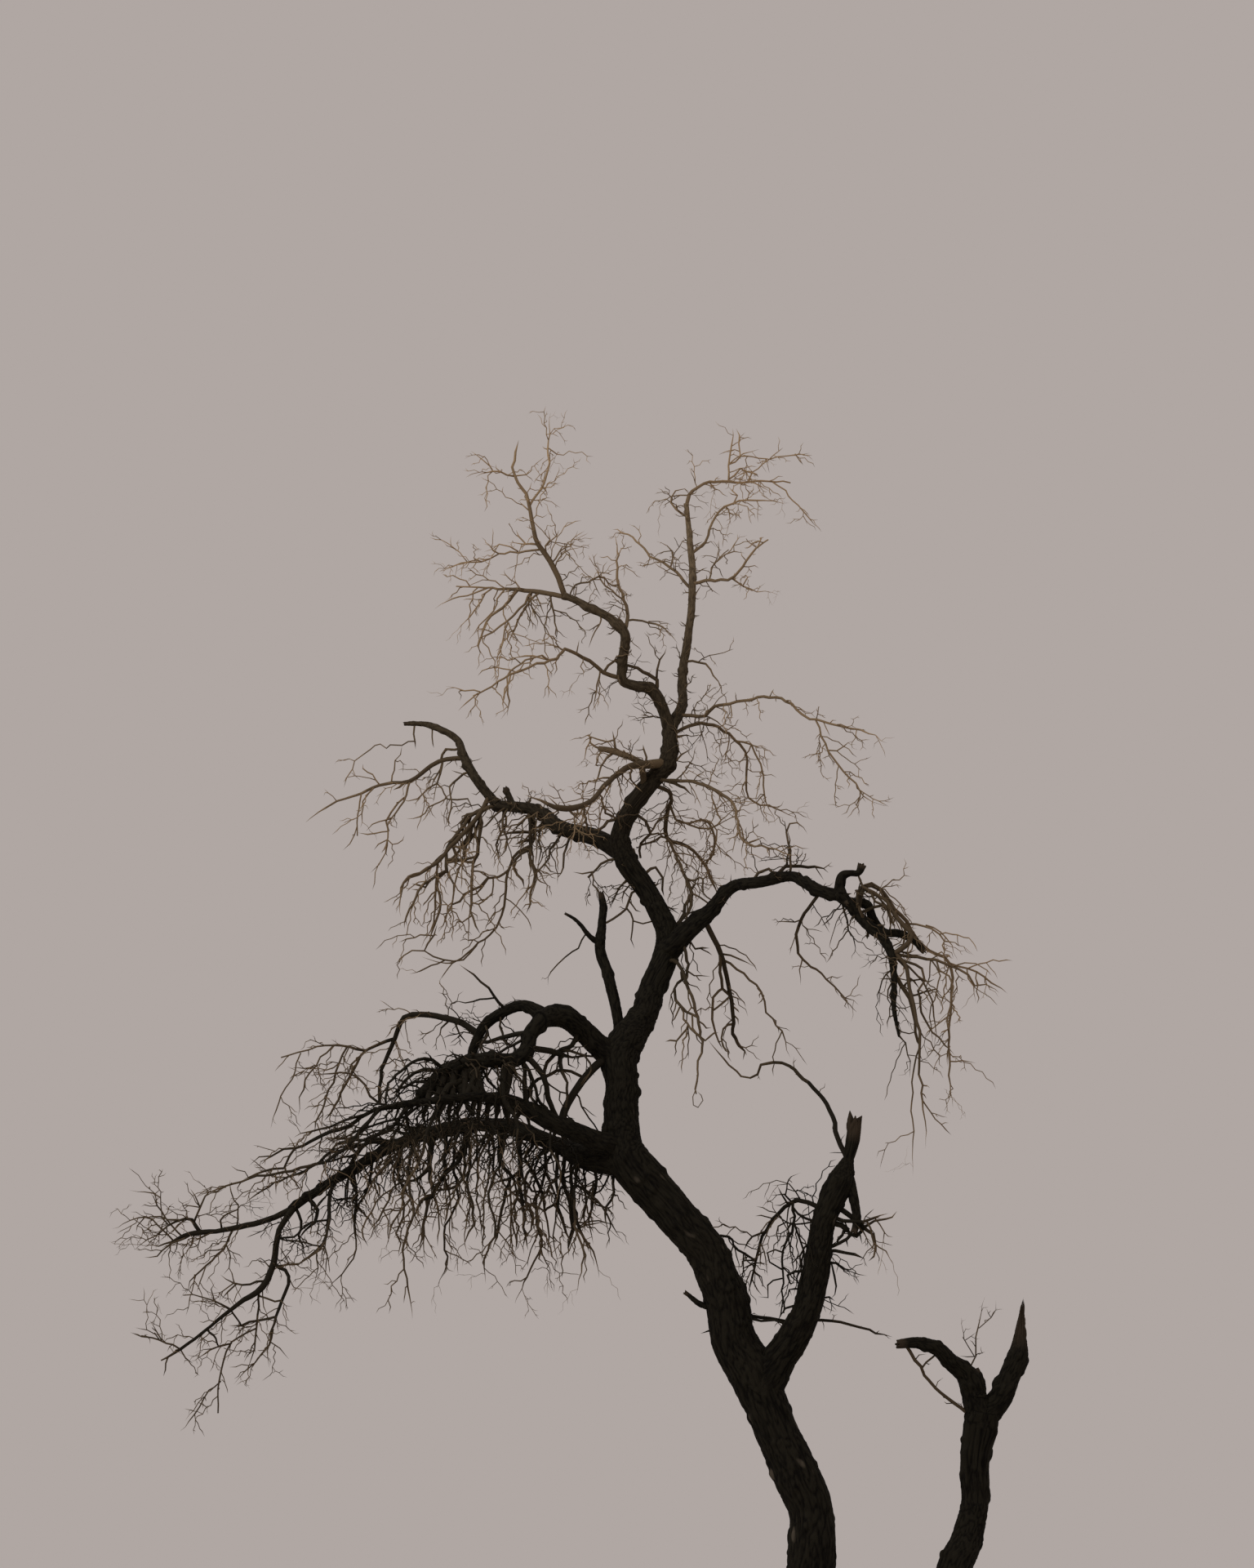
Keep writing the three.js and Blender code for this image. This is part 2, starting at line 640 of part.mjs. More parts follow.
// The low bough's two ends
mass("low_left_twigs", lowBough, ARCHING, {
  places: [
    [-2660, 3140], [-2740, 3100], [-2920, 3050], [-3040, 3030], [-3145, 3018], [-3235, 2997],
    [-3300, 2960], [-3440, 2965],
  ],
  depths: [0, 150, 300],
  radii: [20, 6],
}, [
  { places: [[-3210, 3003], [-3350, 3160], [-3390, 3230]], depths: [0, -80], radii: [6, 4] },
  { places: [[-3260, 2985], [-3410, 3100], [-3580, 3040]], depths: [0, 120], radii: [6, 4] },
  {
    places: [[-2955, 3045], [-3000, 2940], [-3085, 2850], [-3140, 2810], [-3185, 2700]],
    depths: [0, 100],
    radii: [7, 4],
  },
]);
mass("low_down_twigs", lowBough, ARCHING, {
  places: [
    [-2640, 3155], [-2715, 3035], [-2738, 2870], [-2790, 2745], [-2915, 2660], [-3045, 2550],
    [-3195, 2435], [-3290, 2380],
  ],
  depths: [0, -60, -220, -320],
  radii: [19, 6],
}, [
  { places: [[-2810, 2730], [-2815, 2475], [-2845, 2315]], depths: [0, 120], radii: [7, 4] },
  {
    places: [[-2738, 2880], [-2660, 2800], [-2700, 2640], [-2745, 2475], [-2740, 2340]],
    depths: [0, -120],
    radii: [7, 4],
  },
  { places: [[-2780, 2775], [-2940, 2765], [-3010, 2810]], depths: [0, 60], radii: [6, 4] },
  {
    places: [[-2815, 2540], [-2935, 2465], [-2980, 2330], [-2990, 2120]],
    depths: [0, 60],
    radii: [6, 4],
    on: 1,
  },
  { places: [[-2935, 2465], [-3010, 2445], [-3130, 2375]], depths: [0, 40], radii: [5, 4], on: 4 },
  {
    places: [[-2985, 2270], [-3065, 2200], [-3105, 2110], [-3180, 2030]],
    depths: [0, 60],
    radii: [4, 4],
    on: 4,
  },
  {
    places: [[-3200, 2430], [-3305, 2485], [-3395, 2505], [-3455, 2520]],
    depths: [0, -60],
    radii: [6, 4],
  },
]);

// The twigs of the upper low bough
mass("upper_low_tip_twigs", upperLowBough, ARCHING, {
  places: [
    [-2220, 3660], [-2300, 3560], [-2400, 3450], [-2490, 3385], [-2615, 3350], [-2745, 3325],
    [-2885, 3300], [-3000, 3255], [-3185, 3205],
  ],
  depths: [0, -40, -120],
  radii: [11, 4],
});
mass("upper_low_hanging_twigs", upperLowBough, WEEPING, {
  places: [[-1900, 3707], [-1960, 3560], [-2000, 3400], [-2080, 3230], [-2110, 3060]],
  depths: [0, -120, -200],
  radii: [10, 4],
}, [
  {
    places: [[-1960, 3560], [-2110, 3440], [-2230, 3300], [-2280, 3140]],
    depths: [0, 120],
    radii: [6, 4],
  },
]);

// The twigs of the arch
mass("arch_inner_twigs", archBough, WEEPING, {
  places: [[-1185, 4105], [-1215, 3990], [-1290, 3960], [-1360, 3860], [-1330, 3730], [-1310, 3635]],
  depths: [0, -60, -160],
  radii: [14, 6],
}, [
  {
    places: [[-1270, 3968], [-1150, 3940], [-1110, 3860], [-1180, 3770]],
    depths: [0, -80],
    radii: [8, 4],
  },
]);
mass("knotted_limb_twigs", knottedLimb, WEEPING, {
  places: [[-1560, 3918], [-1575, 3810], [-1570, 3700], [-1500, 3600], [-1520, 3450]],
  depths: [0, -100, -140],
  radii: [20, 6],
}, [
  { places: [[-1572, 3730], [-1670, 3640], [-1720, 3500]], depths: [0, -60], radii: [8, 4] },
]);
mass("knotted_limb_end_twigs", knottedLimb, WEEPING, {
  places: [[-2010, 3730], [-2080, 3660], [-2150, 3560], [-2260, 3500], [-2360, 3400]],
  depths: [0, -40, -40],
  radii: [14, 5],
}, [
  {
    places: [[-2080, 3660], [-2060, 3520], [-2120, 3380], [-2150, 3250]],
    depths: [0, 100],
    radii: [7, 4],
  },
]);
mass("arch_far_twigs", archBranch, ARCHING, {
  places: [
    [-1700, 4050], [-1800, 4115], [-1893, 4140], [-2010, 4160], [-2100, 4140], [-2145, 4030],
    [-2180, 3950], [-2210, 3865], [-2215, 3680],
  ],
  depths: [0, 100, 250, 300],
  radii: [19, 9],
}, [
  {
    places: [[-2145, 4025], [-2225, 4003], [-2300, 3965], [-2385, 3985], [-2465, 3995], [-2740, 3930]],
    depths: [0, 120],
    radii: [11, 4],
  },
  { places: [[-2300, 3965], [-2365, 3890], [-2410, 3775]], depths: [0, 60], radii: [6, 4], on: 1 },
  {
    places: [[-2465, 3995], [-2560, 3890], [-2620, 3760], [-2640, 3620]],
    depths: [0, 80],
    radii: [6, 4],
    on: 1,
  },
]);
mass("arch_top_twigs", archBranch, SPURRED, {
  places: [[-1560, 4180], [-1600, 4220], [-1655, 4295], [-1740, 4370], [-1820, 4430]],
  depths: [0, -100],
  radii: [9, 4],
}, [
  { places: [[-1620, 4245], [-1740, 4225], [-1900, 4220]], depths: [0, 80], radii: [5, 4] },
]);

// The twigs of the right bough
mass("right_low_1_twigs", rightBough, WEEPING, {
  places: [
    [-520, 4680], [-435, 4495], [-410, 4410], [-385, 4275], [-365, 4140], [-370, 4055], [-335, 3990],
    [-300, 3940],
  ],
  depths: [0, 250, 480, 700],
  radii: [15, 8],
}, [
  {
    places: [[-418, 4450], [-315, 4375], [-215, 4275], [-190, 4175], [-115, 4070], [-70, 3925]],
    depths: [0, 150],
    radii: [7, 4],
  },
]);
mass("right_low_2_twigs", trunk, WEEPING, {
  places: [
    [-735, 4440], [-665, 4440], [-625, 4355], [-575, 4220], [-545, 4070], [-535, 3985], [-560, 3870],
    [-567, 3740],
  ],
  depths: [0, -250, -450, -650],
  radii: [12, 4],
}, [
  { places: [[-655, 4420], [-690, 4250], [-715, 4020]], depths: [0, -60], radii: [6, 4] },
]);
mass("right_inner_twigs", rightBough, ARCHING, {
  places: [[110, 4826], [0, 4670], [-30, 4560], [0, 4455], [100, 4375], [195, 4275], [295, 4205]],
  depths: [0, 300, 520, 650],
  radii: [10, 4],
});
mass("right_arching_twigs", rightBoughTip, WEEPING, {
  places: [
    [300, 4700], [345, 4850], [420, 4835], [500, 4730], [580, 4620], [645, 4520], [775, 4435],
    [790, 4315], [775, 4165], [765, 3990], [757, 3830], [770, 3660],
  ],
  depths: [0, 150, 320, 380, 400],
  radii: [13, 4],
}, [
  { places: [[775, 4435], [870, 4400], [1000, 4335], [1080, 4270]], depths: [0, 80], radii: [6, 4] },
  { places: [[560, 4650], [660, 4640], [760, 4560], [850, 4520]], depths: [0, -100], radii: [6, 4] },
]);
mass("right_hanging_twigs", rightBoughTip, WEEPING, {
  places: [
    [450, 4520], [535, 4440], [562, 4300], [590, 4170], [610, 4020], [600, 3925], [618, 3700],
    [620, 3450],
  ],
  depths: [0, -80, -160, -180],
  radii: [16, 5],
}, [
  { places: [[535, 4440], [640, 4330], [690, 4150], [680, 3980]], depths: [0, 100], radii: [8, 4] },
  { places: [[605, 3980], [560, 3800], [560, 3545], [550, 3310]], depths: [0, 60], radii: [6, 4] },
]);
mass("right_knob_twigs", rightBough, SPURRED, {
  places: [[-130, 4895], [-80, 4960], [0, 4962], [80, 4958], [150, 4925]],
  depths: [0, 60, 120],
  radii: [11, 6],
}, [
  { places: [[-70, 4960], [-60, 5070], [-68, 5190]], depths: [0, 60], radii: [6, 4] },
]);

// The twigs on the right of the upper trunk
mass("trunk_right_upper_twigs", trunk, ARCHING, {
  places: [
    [-775, 5450], [-665, 5442], [-570, 5435], [-465, 5395], [-365, 5325], [-330, 5210], [-305, 5105],
    [-175, 5060], [40, 5010],
  ],
  depths: [0, -300, -650, -900],
  radii: [12, 4],
});
mass("trunk_right_lower_twigs", trunk, ARCHING, {
  places: [
    [-800, 5420], [-690, 5360], [-715, 5250], [-715, 5120], [-605, 5070], [-520, 4985], [-470, 4880],
    [-445, 4805],
  ],
  depths: [0, 250, 450, 650],
  radii: [12, 4],
}, [
  { places: [[-505, 4975], [-455, 5070], [-470, 5200], [-585, 5210]], depths: [0, 80], radii: [5, 4] },
  { places: [[-712, 5120], [-670, 5035], [-620, 4900], [-590, 4800]], depths: [0, -80], radii: [6, 4] },
]);

// The twigs of the left bough
mass("left_far_twigs", leftBoughTip, ARCHING, {
  places: [
    [-1800, 5560], [-1905, 5560], [-1985, 5525], [-2100, 5435], [-2190, 5425], [-2270, 5410],
    [-2360, 5365], [-2450, 5340], [-2555, 5290], [-2660, 5200],
  ],
  depths: [0, 150, 260, 400],
  radii: [16, 4],
}, [
  {
    places: [[-2095, 5440], [-2145, 5290], [-2200, 5225], [-2220, 5040]],
    depths: [0, -80],
    radii: [7, 4],
  },
  { places: [[-2360, 5365], [-2380, 5240], [-2375, 5130]], depths: [0, 60], radii: [5, 4] },
  { places: [[-1930, 5552], [-1950, 5465], [-2010, 5360]], depths: [0, 80], radii: [6, 4] },
]);
mass("left_hanging_outer_twigs", leftBoughTip, WEEPING, {
  places: [
    [-1670, 5345], [-1735, 5230], [-1800, 5150], [-1890, 5050], [-1940, 4985], [-2030, 4930],
    [-2120, 4880], [-2130, 4680],
  ],
  depths: [0, -150, -350, -500],
  radii: [15, 5],
}, [
  {
    places: [[-1750, 5210], [-1730, 5080], [-1752, 4960], [-1755, 4830]],
    depths: [0, -80],
    radii: [7, 4],
  },
  {
    places: [[-1940, 4985], [-1945, 4820], [-1960, 4650], [-2020, 4510]],
    depths: [0, 100],
    radii: [7, 4],
  },
]);
mass("left_hanging_inner_twigs", leftBough, WEEPING, {
  places: [
    [-1430, 5275], [-1425, 5130], [-1450, 5075], [-1510, 5040], [-1550, 4970], [-1580, 4790],
    [-1605, 4655], [-1740, 4515], [-1845, 4440], [-2020, 4470],
  ],
  depths: [0, 200, 380, 520],
  radii: [12, 4],
}, [
  {
    places: [[-1440, 5095], [-1425, 4980], [-1412, 4900], [-1450, 4700]],
    depths: [0, -100],
    radii: [6, 4],
  },
  { places: [[-1430, 5150], [-1520, 5150], [-1640, 5115]], depths: [0, -80], radii: [10, 8] },
]);

// The twigs of the top
mass("crown_left_twigs", trunk, ARCHING, {
  places: [
    [-705, 5540], [-815, 5530], [-910, 5520], [-985, 5470], [-1050, 5410], [-1115, 5330], [-1195, 5290],
    [-1285, 5285], [-1480, 5360],
  ],
  depths: [0, -250, -560, -800],
  radii: [19, 7],
}, [
  {
    places: [[-830, 5530], [-910, 5570], [-1000, 5605], [-1080, 5620]],
    depths: [0, 100],
    radii: [15, 11],
  },
  { places: [[-1195, 5290], [-1210, 5180], [-1230, 5060]], depths: [0, -80], radii: [6, 4] },
]);
mass("crown_right_upper_twigs", rightTopStem, ARCHING, {
  places: [
    [-650, 5805], [-505, 5808], [-450, 5860], [-365, 5875], [-180, 5910], [-60, 5890], [60, 5790],
    [215, 5755], [350, 5720], [485, 5650],
  ],
  depths: [0, -250, -560, -850],
  radii: [11, 4],
}, [
  {
    places: [[100, 5780], [165, 5610], [250, 5490], [330, 5385], [410, 5300]],
    depths: [0, -60],
    radii: [6, 4],
  },
]);
mass("crown_right_lower_twigs", trunk, ARCHING, {
  places: [
    [-690, 5700], [-560, 5760], [-460, 5752], [-375, 5700], [-290, 5600], [-280, 5470], [-270, 5345],
    [-165, 5295], [5, 5220],
  ],
  depths: [0, 200, 480, 700],
  radii: [11, 4],
}, [
  {
    places: [[-340, 5660], [-255, 5640], [-210, 5540], [-185, 5365], [-130, 5185]],
    depths: [0, 120],
    radii: [6, 4],
  },
]);
mass("top_left_leader_twigs", leftTopStem, ARCHING, {
  places: [
    [-1283, 6505], [-1328, 6655], [-1380, 6745], [-1420, 6800], [-1445, 6885], [-1470, 7000],
    [-1487, 7100], [-1560, 7210], [-1550, 7360], [-1535, 7430],
  ],
  depths: [0, -80, -150, -220],
  radii: [17, 11, 5],
}, [
  {
    places: [[-1472, 7020], [-1395, 7160], [-1370, 7250], [-1370, 7380], [-1355, 7600]],
    depths: [0, 120],
    radii: [7, 4],
  },
  {
    places: [[-1400, 6775], [-1530, 6760], [-1640, 6745], [-1700, 6800]],
    depths: [0, 120],
    radii: [6, 4],
  },
  {
    places: [[-1640, 6745], [-1730, 6700], [-1845, 6690], [-1970, 6640]],
    depths: [0, 80],
    radii: [5, 4],
    on: 2,
  },
  { places: [[-1560, 7210], [-1675, 7235], [-1780, 7200]], depths: [0, -80], radii: [5, 4] },
]);
mass("top_left_side_twigs", leftTopStem, WEEPING, {
  places: [[-1265, 6495], [-1405, 6520], [-1530, 6535], [-1670, 6545], [-1870, 6555]],
  depths: [0, 120, 260],
  radii: [13, 4],
}, [
  {
    places: [[-1405, 6520], [-1490, 6430], [-1540, 6300], [-1600, 6180]],
    depths: [0, 60],
    radii: [6, 4],
  },
]);
mass("top_middle_twigs", leftTopStem, SPURRED, {
  places: [[-938, 6260], [-928, 6410], [-963, 6540], [-985, 6635], [-978, 6735], [-993, 6865]],
  depths: [0, 250, 420],
  radii: [11, 4],
}, [
  { places: [[-945, 6480], [-1070, 6595], [-1120, 6700]], depths: [0, 60], radii: [5, 4] },
  { places: [[-932, 6360], [-810, 6350], [-735, 6310], [-645, 6215]], depths: [0, -100], radii: [6, 4] },
]);
mass("top_left_low_twigs", leftTopStem, WEEPING, {
  places: [
    [-952, 6020], [-1055, 6055], [-1130, 6120], [-1205, 6160], [-1267, 6185], [-1315, 6130],
    [-1420, 6105], [-1530, 6055], [-1670, 5980], [-1765, 5920],
  ],
  depths: [0, -200, -450, -650],
  radii: [13, 4],
}, [
  { places: [[-1335, 6122], [-1483, 6150], [-1600, 6120]], depths: [0, 100], radii: [5, 4] },
  { places: [[-1560, 6040], [-1600, 5915], [-1595, 5810]], depths: [0, -60], radii: [5, 4] },
  { places: [[-1070, 6070], [-1100, 5945], [-1110, 5835]], depths: [0, 60], radii: [5, 4] },
]);
mass("top_right_tip_twigs", rightTopStem, ARCHING, {
  places: [
    [-597, 7045], [-580, 7095], [-533, 7145], [-470, 7175], [-360, 7177], [-250, 7175], [-140, 7185],
    [-15, 7170],
  ],
  depths: [0, 120, 260, 400],
  radii: [12, 4],
}, [
  { places: [[-360, 7177], [-360, 7280], [-345, 7395], [-333, 7500]], depths: [0, -80], radii: [6, 4] },
  {
    places: [[-250, 7175], [-230, 7235], [-123, 7305], [15, 7345], [100, 7350]],
    depths: [0, 120],
    radii: [5, 4],
  },
]);
mass("top_right_side_twigs", rightTopStem, SPURRED, {
  places: [
    [-566, 6560], [-495, 6592], [-410, 6590], [-333, 6610], [-270, 6710], [-210, 6785], [-145, 6830],
  ],
  depths: [0, -250, -500],
  radii: [11, 4],
}, [
  { places: [[-350, 6605], [-290, 6555], [-85, 6500]], depths: [0, 80], radii: [5, 4] },
  { places: [[-470, 6592], [-440, 6690], [-365, 6770]], depths: [0, 100], radii: [5, 4] },
]);
mass("top_right_inner_twigs", rightTopStem, SPURRED, {
  places: [
    [-568, 6530], [-660, 6635], [-735, 6700], [-797, 6735], [-875, 6820], [-950, 6875], [-1010, 6890],
  ],
  depths: [0, 200, 420],
  radii: [9, 4],
}, [
  { places: [[-690, 6660], [-675, 6765], [-768, 6820]], depths: [0, 100], radii: [5, 4] },
]);

growMasses();

export default tree;
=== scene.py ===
import functools
import math
from collections import namedtuple

import bmesh
import bpy
from mathutils import Matrix, Vector, kdtree, noise


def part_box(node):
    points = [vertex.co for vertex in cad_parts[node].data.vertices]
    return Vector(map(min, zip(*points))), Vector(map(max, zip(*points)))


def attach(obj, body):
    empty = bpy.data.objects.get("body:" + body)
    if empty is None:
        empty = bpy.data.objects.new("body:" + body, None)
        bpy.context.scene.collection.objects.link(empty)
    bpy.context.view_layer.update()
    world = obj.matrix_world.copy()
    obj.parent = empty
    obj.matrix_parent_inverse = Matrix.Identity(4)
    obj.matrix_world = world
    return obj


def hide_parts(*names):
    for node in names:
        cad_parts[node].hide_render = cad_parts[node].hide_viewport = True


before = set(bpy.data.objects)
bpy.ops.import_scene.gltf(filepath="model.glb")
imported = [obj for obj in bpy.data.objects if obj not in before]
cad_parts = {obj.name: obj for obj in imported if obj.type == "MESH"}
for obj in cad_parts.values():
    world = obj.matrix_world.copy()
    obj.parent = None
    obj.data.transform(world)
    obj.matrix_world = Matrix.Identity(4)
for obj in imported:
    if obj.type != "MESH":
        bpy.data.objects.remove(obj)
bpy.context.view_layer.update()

bl_info = {
    "name": "Bare winter tree",
    "version": (1, 0, 0),
    "blender": (4, 5, 0),
    "location": "View3D > Sidebar > Tree",
    "description": "Bark, boughs and fine twigs of a bare winter tree, made around its packed frame",
    "category": "Add Mesh",
}

# Places along limbs are written in millimetres, as on a drawing, and everything else is in metres
MM = 0.001

# The tree is looked at from here. Every place below is written as it is seen from this point against
# the upright plane through the trunk's foot, and is then moved along the line of sight.
EYE = Vector((-0.93, -13.3, 1.6))

# Limbs and their roots
ROOT_SHARE = 0.85
ROOT_TRIES = 8
SUNK_IN_TIP = 0.7
NO_LIMB_HEADS = Vector((0.31, 0.87, 0.38))
WOOD_STEP = 0.02
WOOD_CLEARANCE = 0.002
COLLAR = 0.22
COLLAR_LENGTH = 1.3

# The foot of the trunk
FLARE_SHARE = 0.66
FLARE_HEIGHT = 0.17
FLARE_LOBES = 5
FLARE_LOBE_DEPTH = 0.16

# The random numbers: each is the last one multiplied, over this modulus
MULTIPLIER = 16807
MODULUS = 2147483647
SEED_MULTIPLIER = 48271
SEED_STEP = 69621

# The twigs' rule: one twig at each bend of its parent, turned on by the golden angle
GOLDEN_ANGLE = math.radians(137.5)
TURN_PLAY = 2
ANGLE_PLAY = 0.25
SHORTEST_SHARE = 0.55
SHORTER_AT_TIP = 0.45
TWIG_TAPER = 0.3
DOWN = Vector((0, 0, -1))
OFF_UPRIGHT = 0.02
OFF_DOWN = 0.01

# Length, step, droop, kink, angle and radius of a twig, at every how many bends one grows, the least
# share of its length, how far round from the underside it starts, and its zigzag from bud to bud
Habit = namedtuple(
    "Habit", "length step droop kink angle radius every shortest below zigzag",
    defaults=(1, SHORTEST_SHARE, 0, 0),
)
WEEPING = Habit(0.340, 0.130, 0.60, 0.45, 0.95, 0.0040, 2)
ARCHING = Habit(0.270, 0.120, 0.25, 0.50, 0.95, 0.0040, 2)
SPURRED = Habit(0.180, 0.090, 0.10, 0.50, 1.10, 0.0035, 2)
SPARSE = Habit(0.130, 0.065, 0.15, 0.50, 1.10, 0.0035, 3)

# Finer twigs by the same rule: side twigs on every line above, twiglets on those, and spurs last
TWIGLET = Habit(0.180, 0.032, 0.08, 0.28, 1.00, 0.0029, shortest=0.15, zigzag=0.32)
SPUR = Habit(0.055, 0.022, 0.03, 0.30, 0.95, 0.0023, shortest=0.3, zigzag=0.25)
FINER = {
    WEEPING: (Habit(0.420, 0.038, 0.16, 0.24, 1.00, 0.0038, shortest=0.10, zigzag=0.34), TWIGLET, SPUR),
    ARCHING: (Habit(0.360, 0.036, 0.07, 0.24, 0.95, 0.0034, shortest=0.10, zigzag=0.32), TWIGLET, SPUR),
    SPURRED: (Habit(0.240, 0.034, 0.02, 0.28, 1.00, 0.0034, shortest=0.12, zigzag=0.32), TWIGLET, SPUR),
    SPARSE: (Habit(0.100, 0.030, 0.04, 0.28, 1.00, 0.0028, shortest=0.2, zigzag=0.30), SPUR),
}

# Shoots that grow straight off a bough
HANGING = Habit(0.840, 0.044, 0.10, 0.36, 1.25, 0.0072, shortest=0.16, below=0.62, zigzag=0.38)
SHORT_HANGING = Habit(0.440, 0.040, 0.10, 0.38, 1.20, 0.0062, shortest=0.2, below=0.75, zigzag=0.38)
BRISTLING = Habit(0.170, 0.034, 0.02, 0.28, 1.10, 0.0036, shortest=0.15, zigzag=0.32)
STUBBY = Habit(0.130, 0.030, 0.03, 0.34, 1.25, 0.0095, shortest=0.35, zigzag=0.25)

# How a line of wood is written down, up to a semicolon:
#   grows on > ends on | depths in mm | radii in mm | its places in mm, each x,z as seen from the eye
# A line grows on a limb, by its name, or on an earlier line of its mass, by its number. Only some end
# on another one. Depths count from the root and follow it, spread evenly over the line. So are radii.
Row = namedtuple("Row", "on to depths radii places")

# A limb's own row with those of its stubs, and how many metres of its end are torn
Limb = namedtuple("Limb", "rows torn", defaults=(0.0,))

# A mass's habit, the rows of its stem and arms, and those of the twigs seen in between
Mass = namedtuple("Mass", "habit own between", defaults=("",))

LIMBS = {
    "trunk": Limb("""
  ground| 0 0 10 30 50 60 30 -20 -60 -70 -40 10 50 60 40 10 0| 150 148 145 142 132 122 118 110 116 106 112
    126 112 110 103 103 108 108 90 86 98 92 70 66 68 60 55 58 50 46 50 47 42 38| 0,-60 0,60 -4,220 -12,420
    -30,800 -28,1200 -10,1450 -5,1600 -66,1800 -157,2000 -240,2180 -290,2330 -385,2500 -418,2680 -507,2900
    -667,3100 -830,3280 -935,3420 -950,3600 -958,3800 -970,3930 -915,4040 -840,4160 -795,4300 -722,4470
    -713,4600 -800,4790 -925,4980 -962,5110 -905,5290 -810,5410 -725,5510 -690,5630 -690,5757;
  trunk| -30| 20 10| -418,2650 -525,2650 -635,2720
    """),
    "second_stem": Limb("""
  trunk| 60 160 240 260 230| 95 98 92 87 85 77 67 72 86 84| -6,260 210,500 440,830 610,1150 708,1400 763,1500
    812,1700 820,1880 852,2040 873,2130
    """),
    "second_stem_spike": Limb("""
  second_stem| 40 90| 62 56 52 54 29 2| 880,2090 958,2200 1010,2300 1055,2395 1068,2500 1090,2652
    """, 0.26),
    "second_stem_torn_arm": Limb("""
  second_stem| -40 -120 -160| 64 58 54 42 35 28 21| 862,2090 822,2230 795,2310 716,2372 630,2440 550,2465
    445,2460;
  second_stem_torn_arm| 10| 52 44 24| 845,2190 838,2280 832,2340
    """, 0.05),
    "snag": Limb("""
  trunk| -110 -160 -190 -200| 96 84 72 72 61 60 70 26 35 33| -255,2240 -150,2400 -20,2600 35,2800 62,3000
    92,3110 180,3290 223,3405 243,3500 257,3600;
  snag| -30| 30 22 16| 205,3340 244,3190 256,3100 240,3020
    """, 0.12),
    "low_bough": Limb("""
  trunk| 60 270 430 520 770 890 1050| 80 66 42 40 36 35 31 28 25 22| -940,3380 -1100,3400 -1265,3465
    -1495,3550 -1720,3580 -1925,3540 -2105,3480 -2290,3380 -2490,3260 -2660,3140
    """),
    "upper_low_bough": Limb("""
  trunk| -110 -290 -340 -580 -720 -820| 58 50 44 38 25 18 12| -945,3450 -1090,3500 -1330,3595 -1520,3690
    -1690,3720 -1925,3705 -2220,3660
    """),
    "arch_bough": Limb("""
  trunk| -50 -180 -210 -330| 70 56 55 57 54 46| -975,3900 -1080,3995 -1185,4105 -1257,4145 -1326,4150
    -1385,4132
    """),
    "knotted_limb": Limb("""
  arch_bough| -30 -60 -190 -200 -300| 44 40 40 44 45 50 44 38 28| -1385,4132 -1438,4055 -1455,3970 -1520,3918
    -1640,3915 -1800,3890 -1890,3840 -1950,3770 -2010,3730
    """),
    "arch_branch": Limb("""
  arch_bough| 60 140 170| 36 28 27 27 25 22| -1350,4148 -1458,4205 -1545,4190 -1675,4105 -1728,3995
    -1745,3930
    """),
    "dead_stub": Limb("""
  trunk| 60 110 90| 48 28 29 30 29 22 20 15| -955,3960 -975,4100 -1000,4250 -1037,4400 -1068,4510 -1066,4630
    -1057,4735 -1070,4815;
  dead_stub| -60| 16 12 6| -1070,4545 -1115,4568 -1200,4668 -1258,4705
    """, 0.04),
    "right_bough": Limb("""
  trunk| -90 -130 -310 -350 -500 -520| 62 52 41 32 29 26 28 30 31| -722,4490 -640,4572 -505,4695 -365,4845
    -215,4875 -60,4908 22,4866 120,4822 222,4803;
  right_bough| 20| 42 34 24 16 16 22| 205,4808 212,4870 225,4910 262,4924 305,4926 326,4968
    """),
    "right_bough_tip": Limb("""
  right_bough| -60 -160 -220| 30 30 34 29 20 16 12 6| 222,4803 268,4745 330,4660 425,4578 470,4490 482,4350
    478,4185 500,4040;
  right_bough_tip| 100 160| 22 24 18 22 14| 245,4775 345,4755 375,4680 440,4605 520,4592 600,4555 650,4495
    """),
    "left_bough": Limb("""
  trunk| 110 160 330 380 480| 58 50 45 40 38 33 30 31| -945,5020 -1030,5090 -1115,5125 -1310,5190 -1375,5250
    -1440,5280 -1530,5290 -1640,5306;
  left_bough| 30| 20 15| -1545,5290 -1560,5340 -1582,5395
    """),
    "left_bough_tip": Limb("""
  left_bough| 100 200 260| 30 26 27 25 20 17 11| -1640,5306 -1710,5400 -1772,5490 -1815,5590 -1850,5670
    -1985,5748 -2140,5760
    """, 0.03),
    "right_top_stem": Limb("""
  trunk| 50 150 130 250 230| 34 29 26 25 22 20 18 14 13| -690,5745 -645,5820 -622,5915 -627,6000 -588,6310
    -566,6570 -570,6715 -590,6965 -597,7045
    """),
    "left_top_stem": Limb("""
  trunk| -60 -90 -170 -180 -260 -330 -340 -420| 36 31 33 32 27 26 27 26 25 22 20 18| -692,5725 -730,5835
    -768,5925 -805,5968 -887,5980 -950,6005 -955,6090 -940,6200 -940,6280 -1008,6360 -1100,6415 -1283,6505
    """),
}

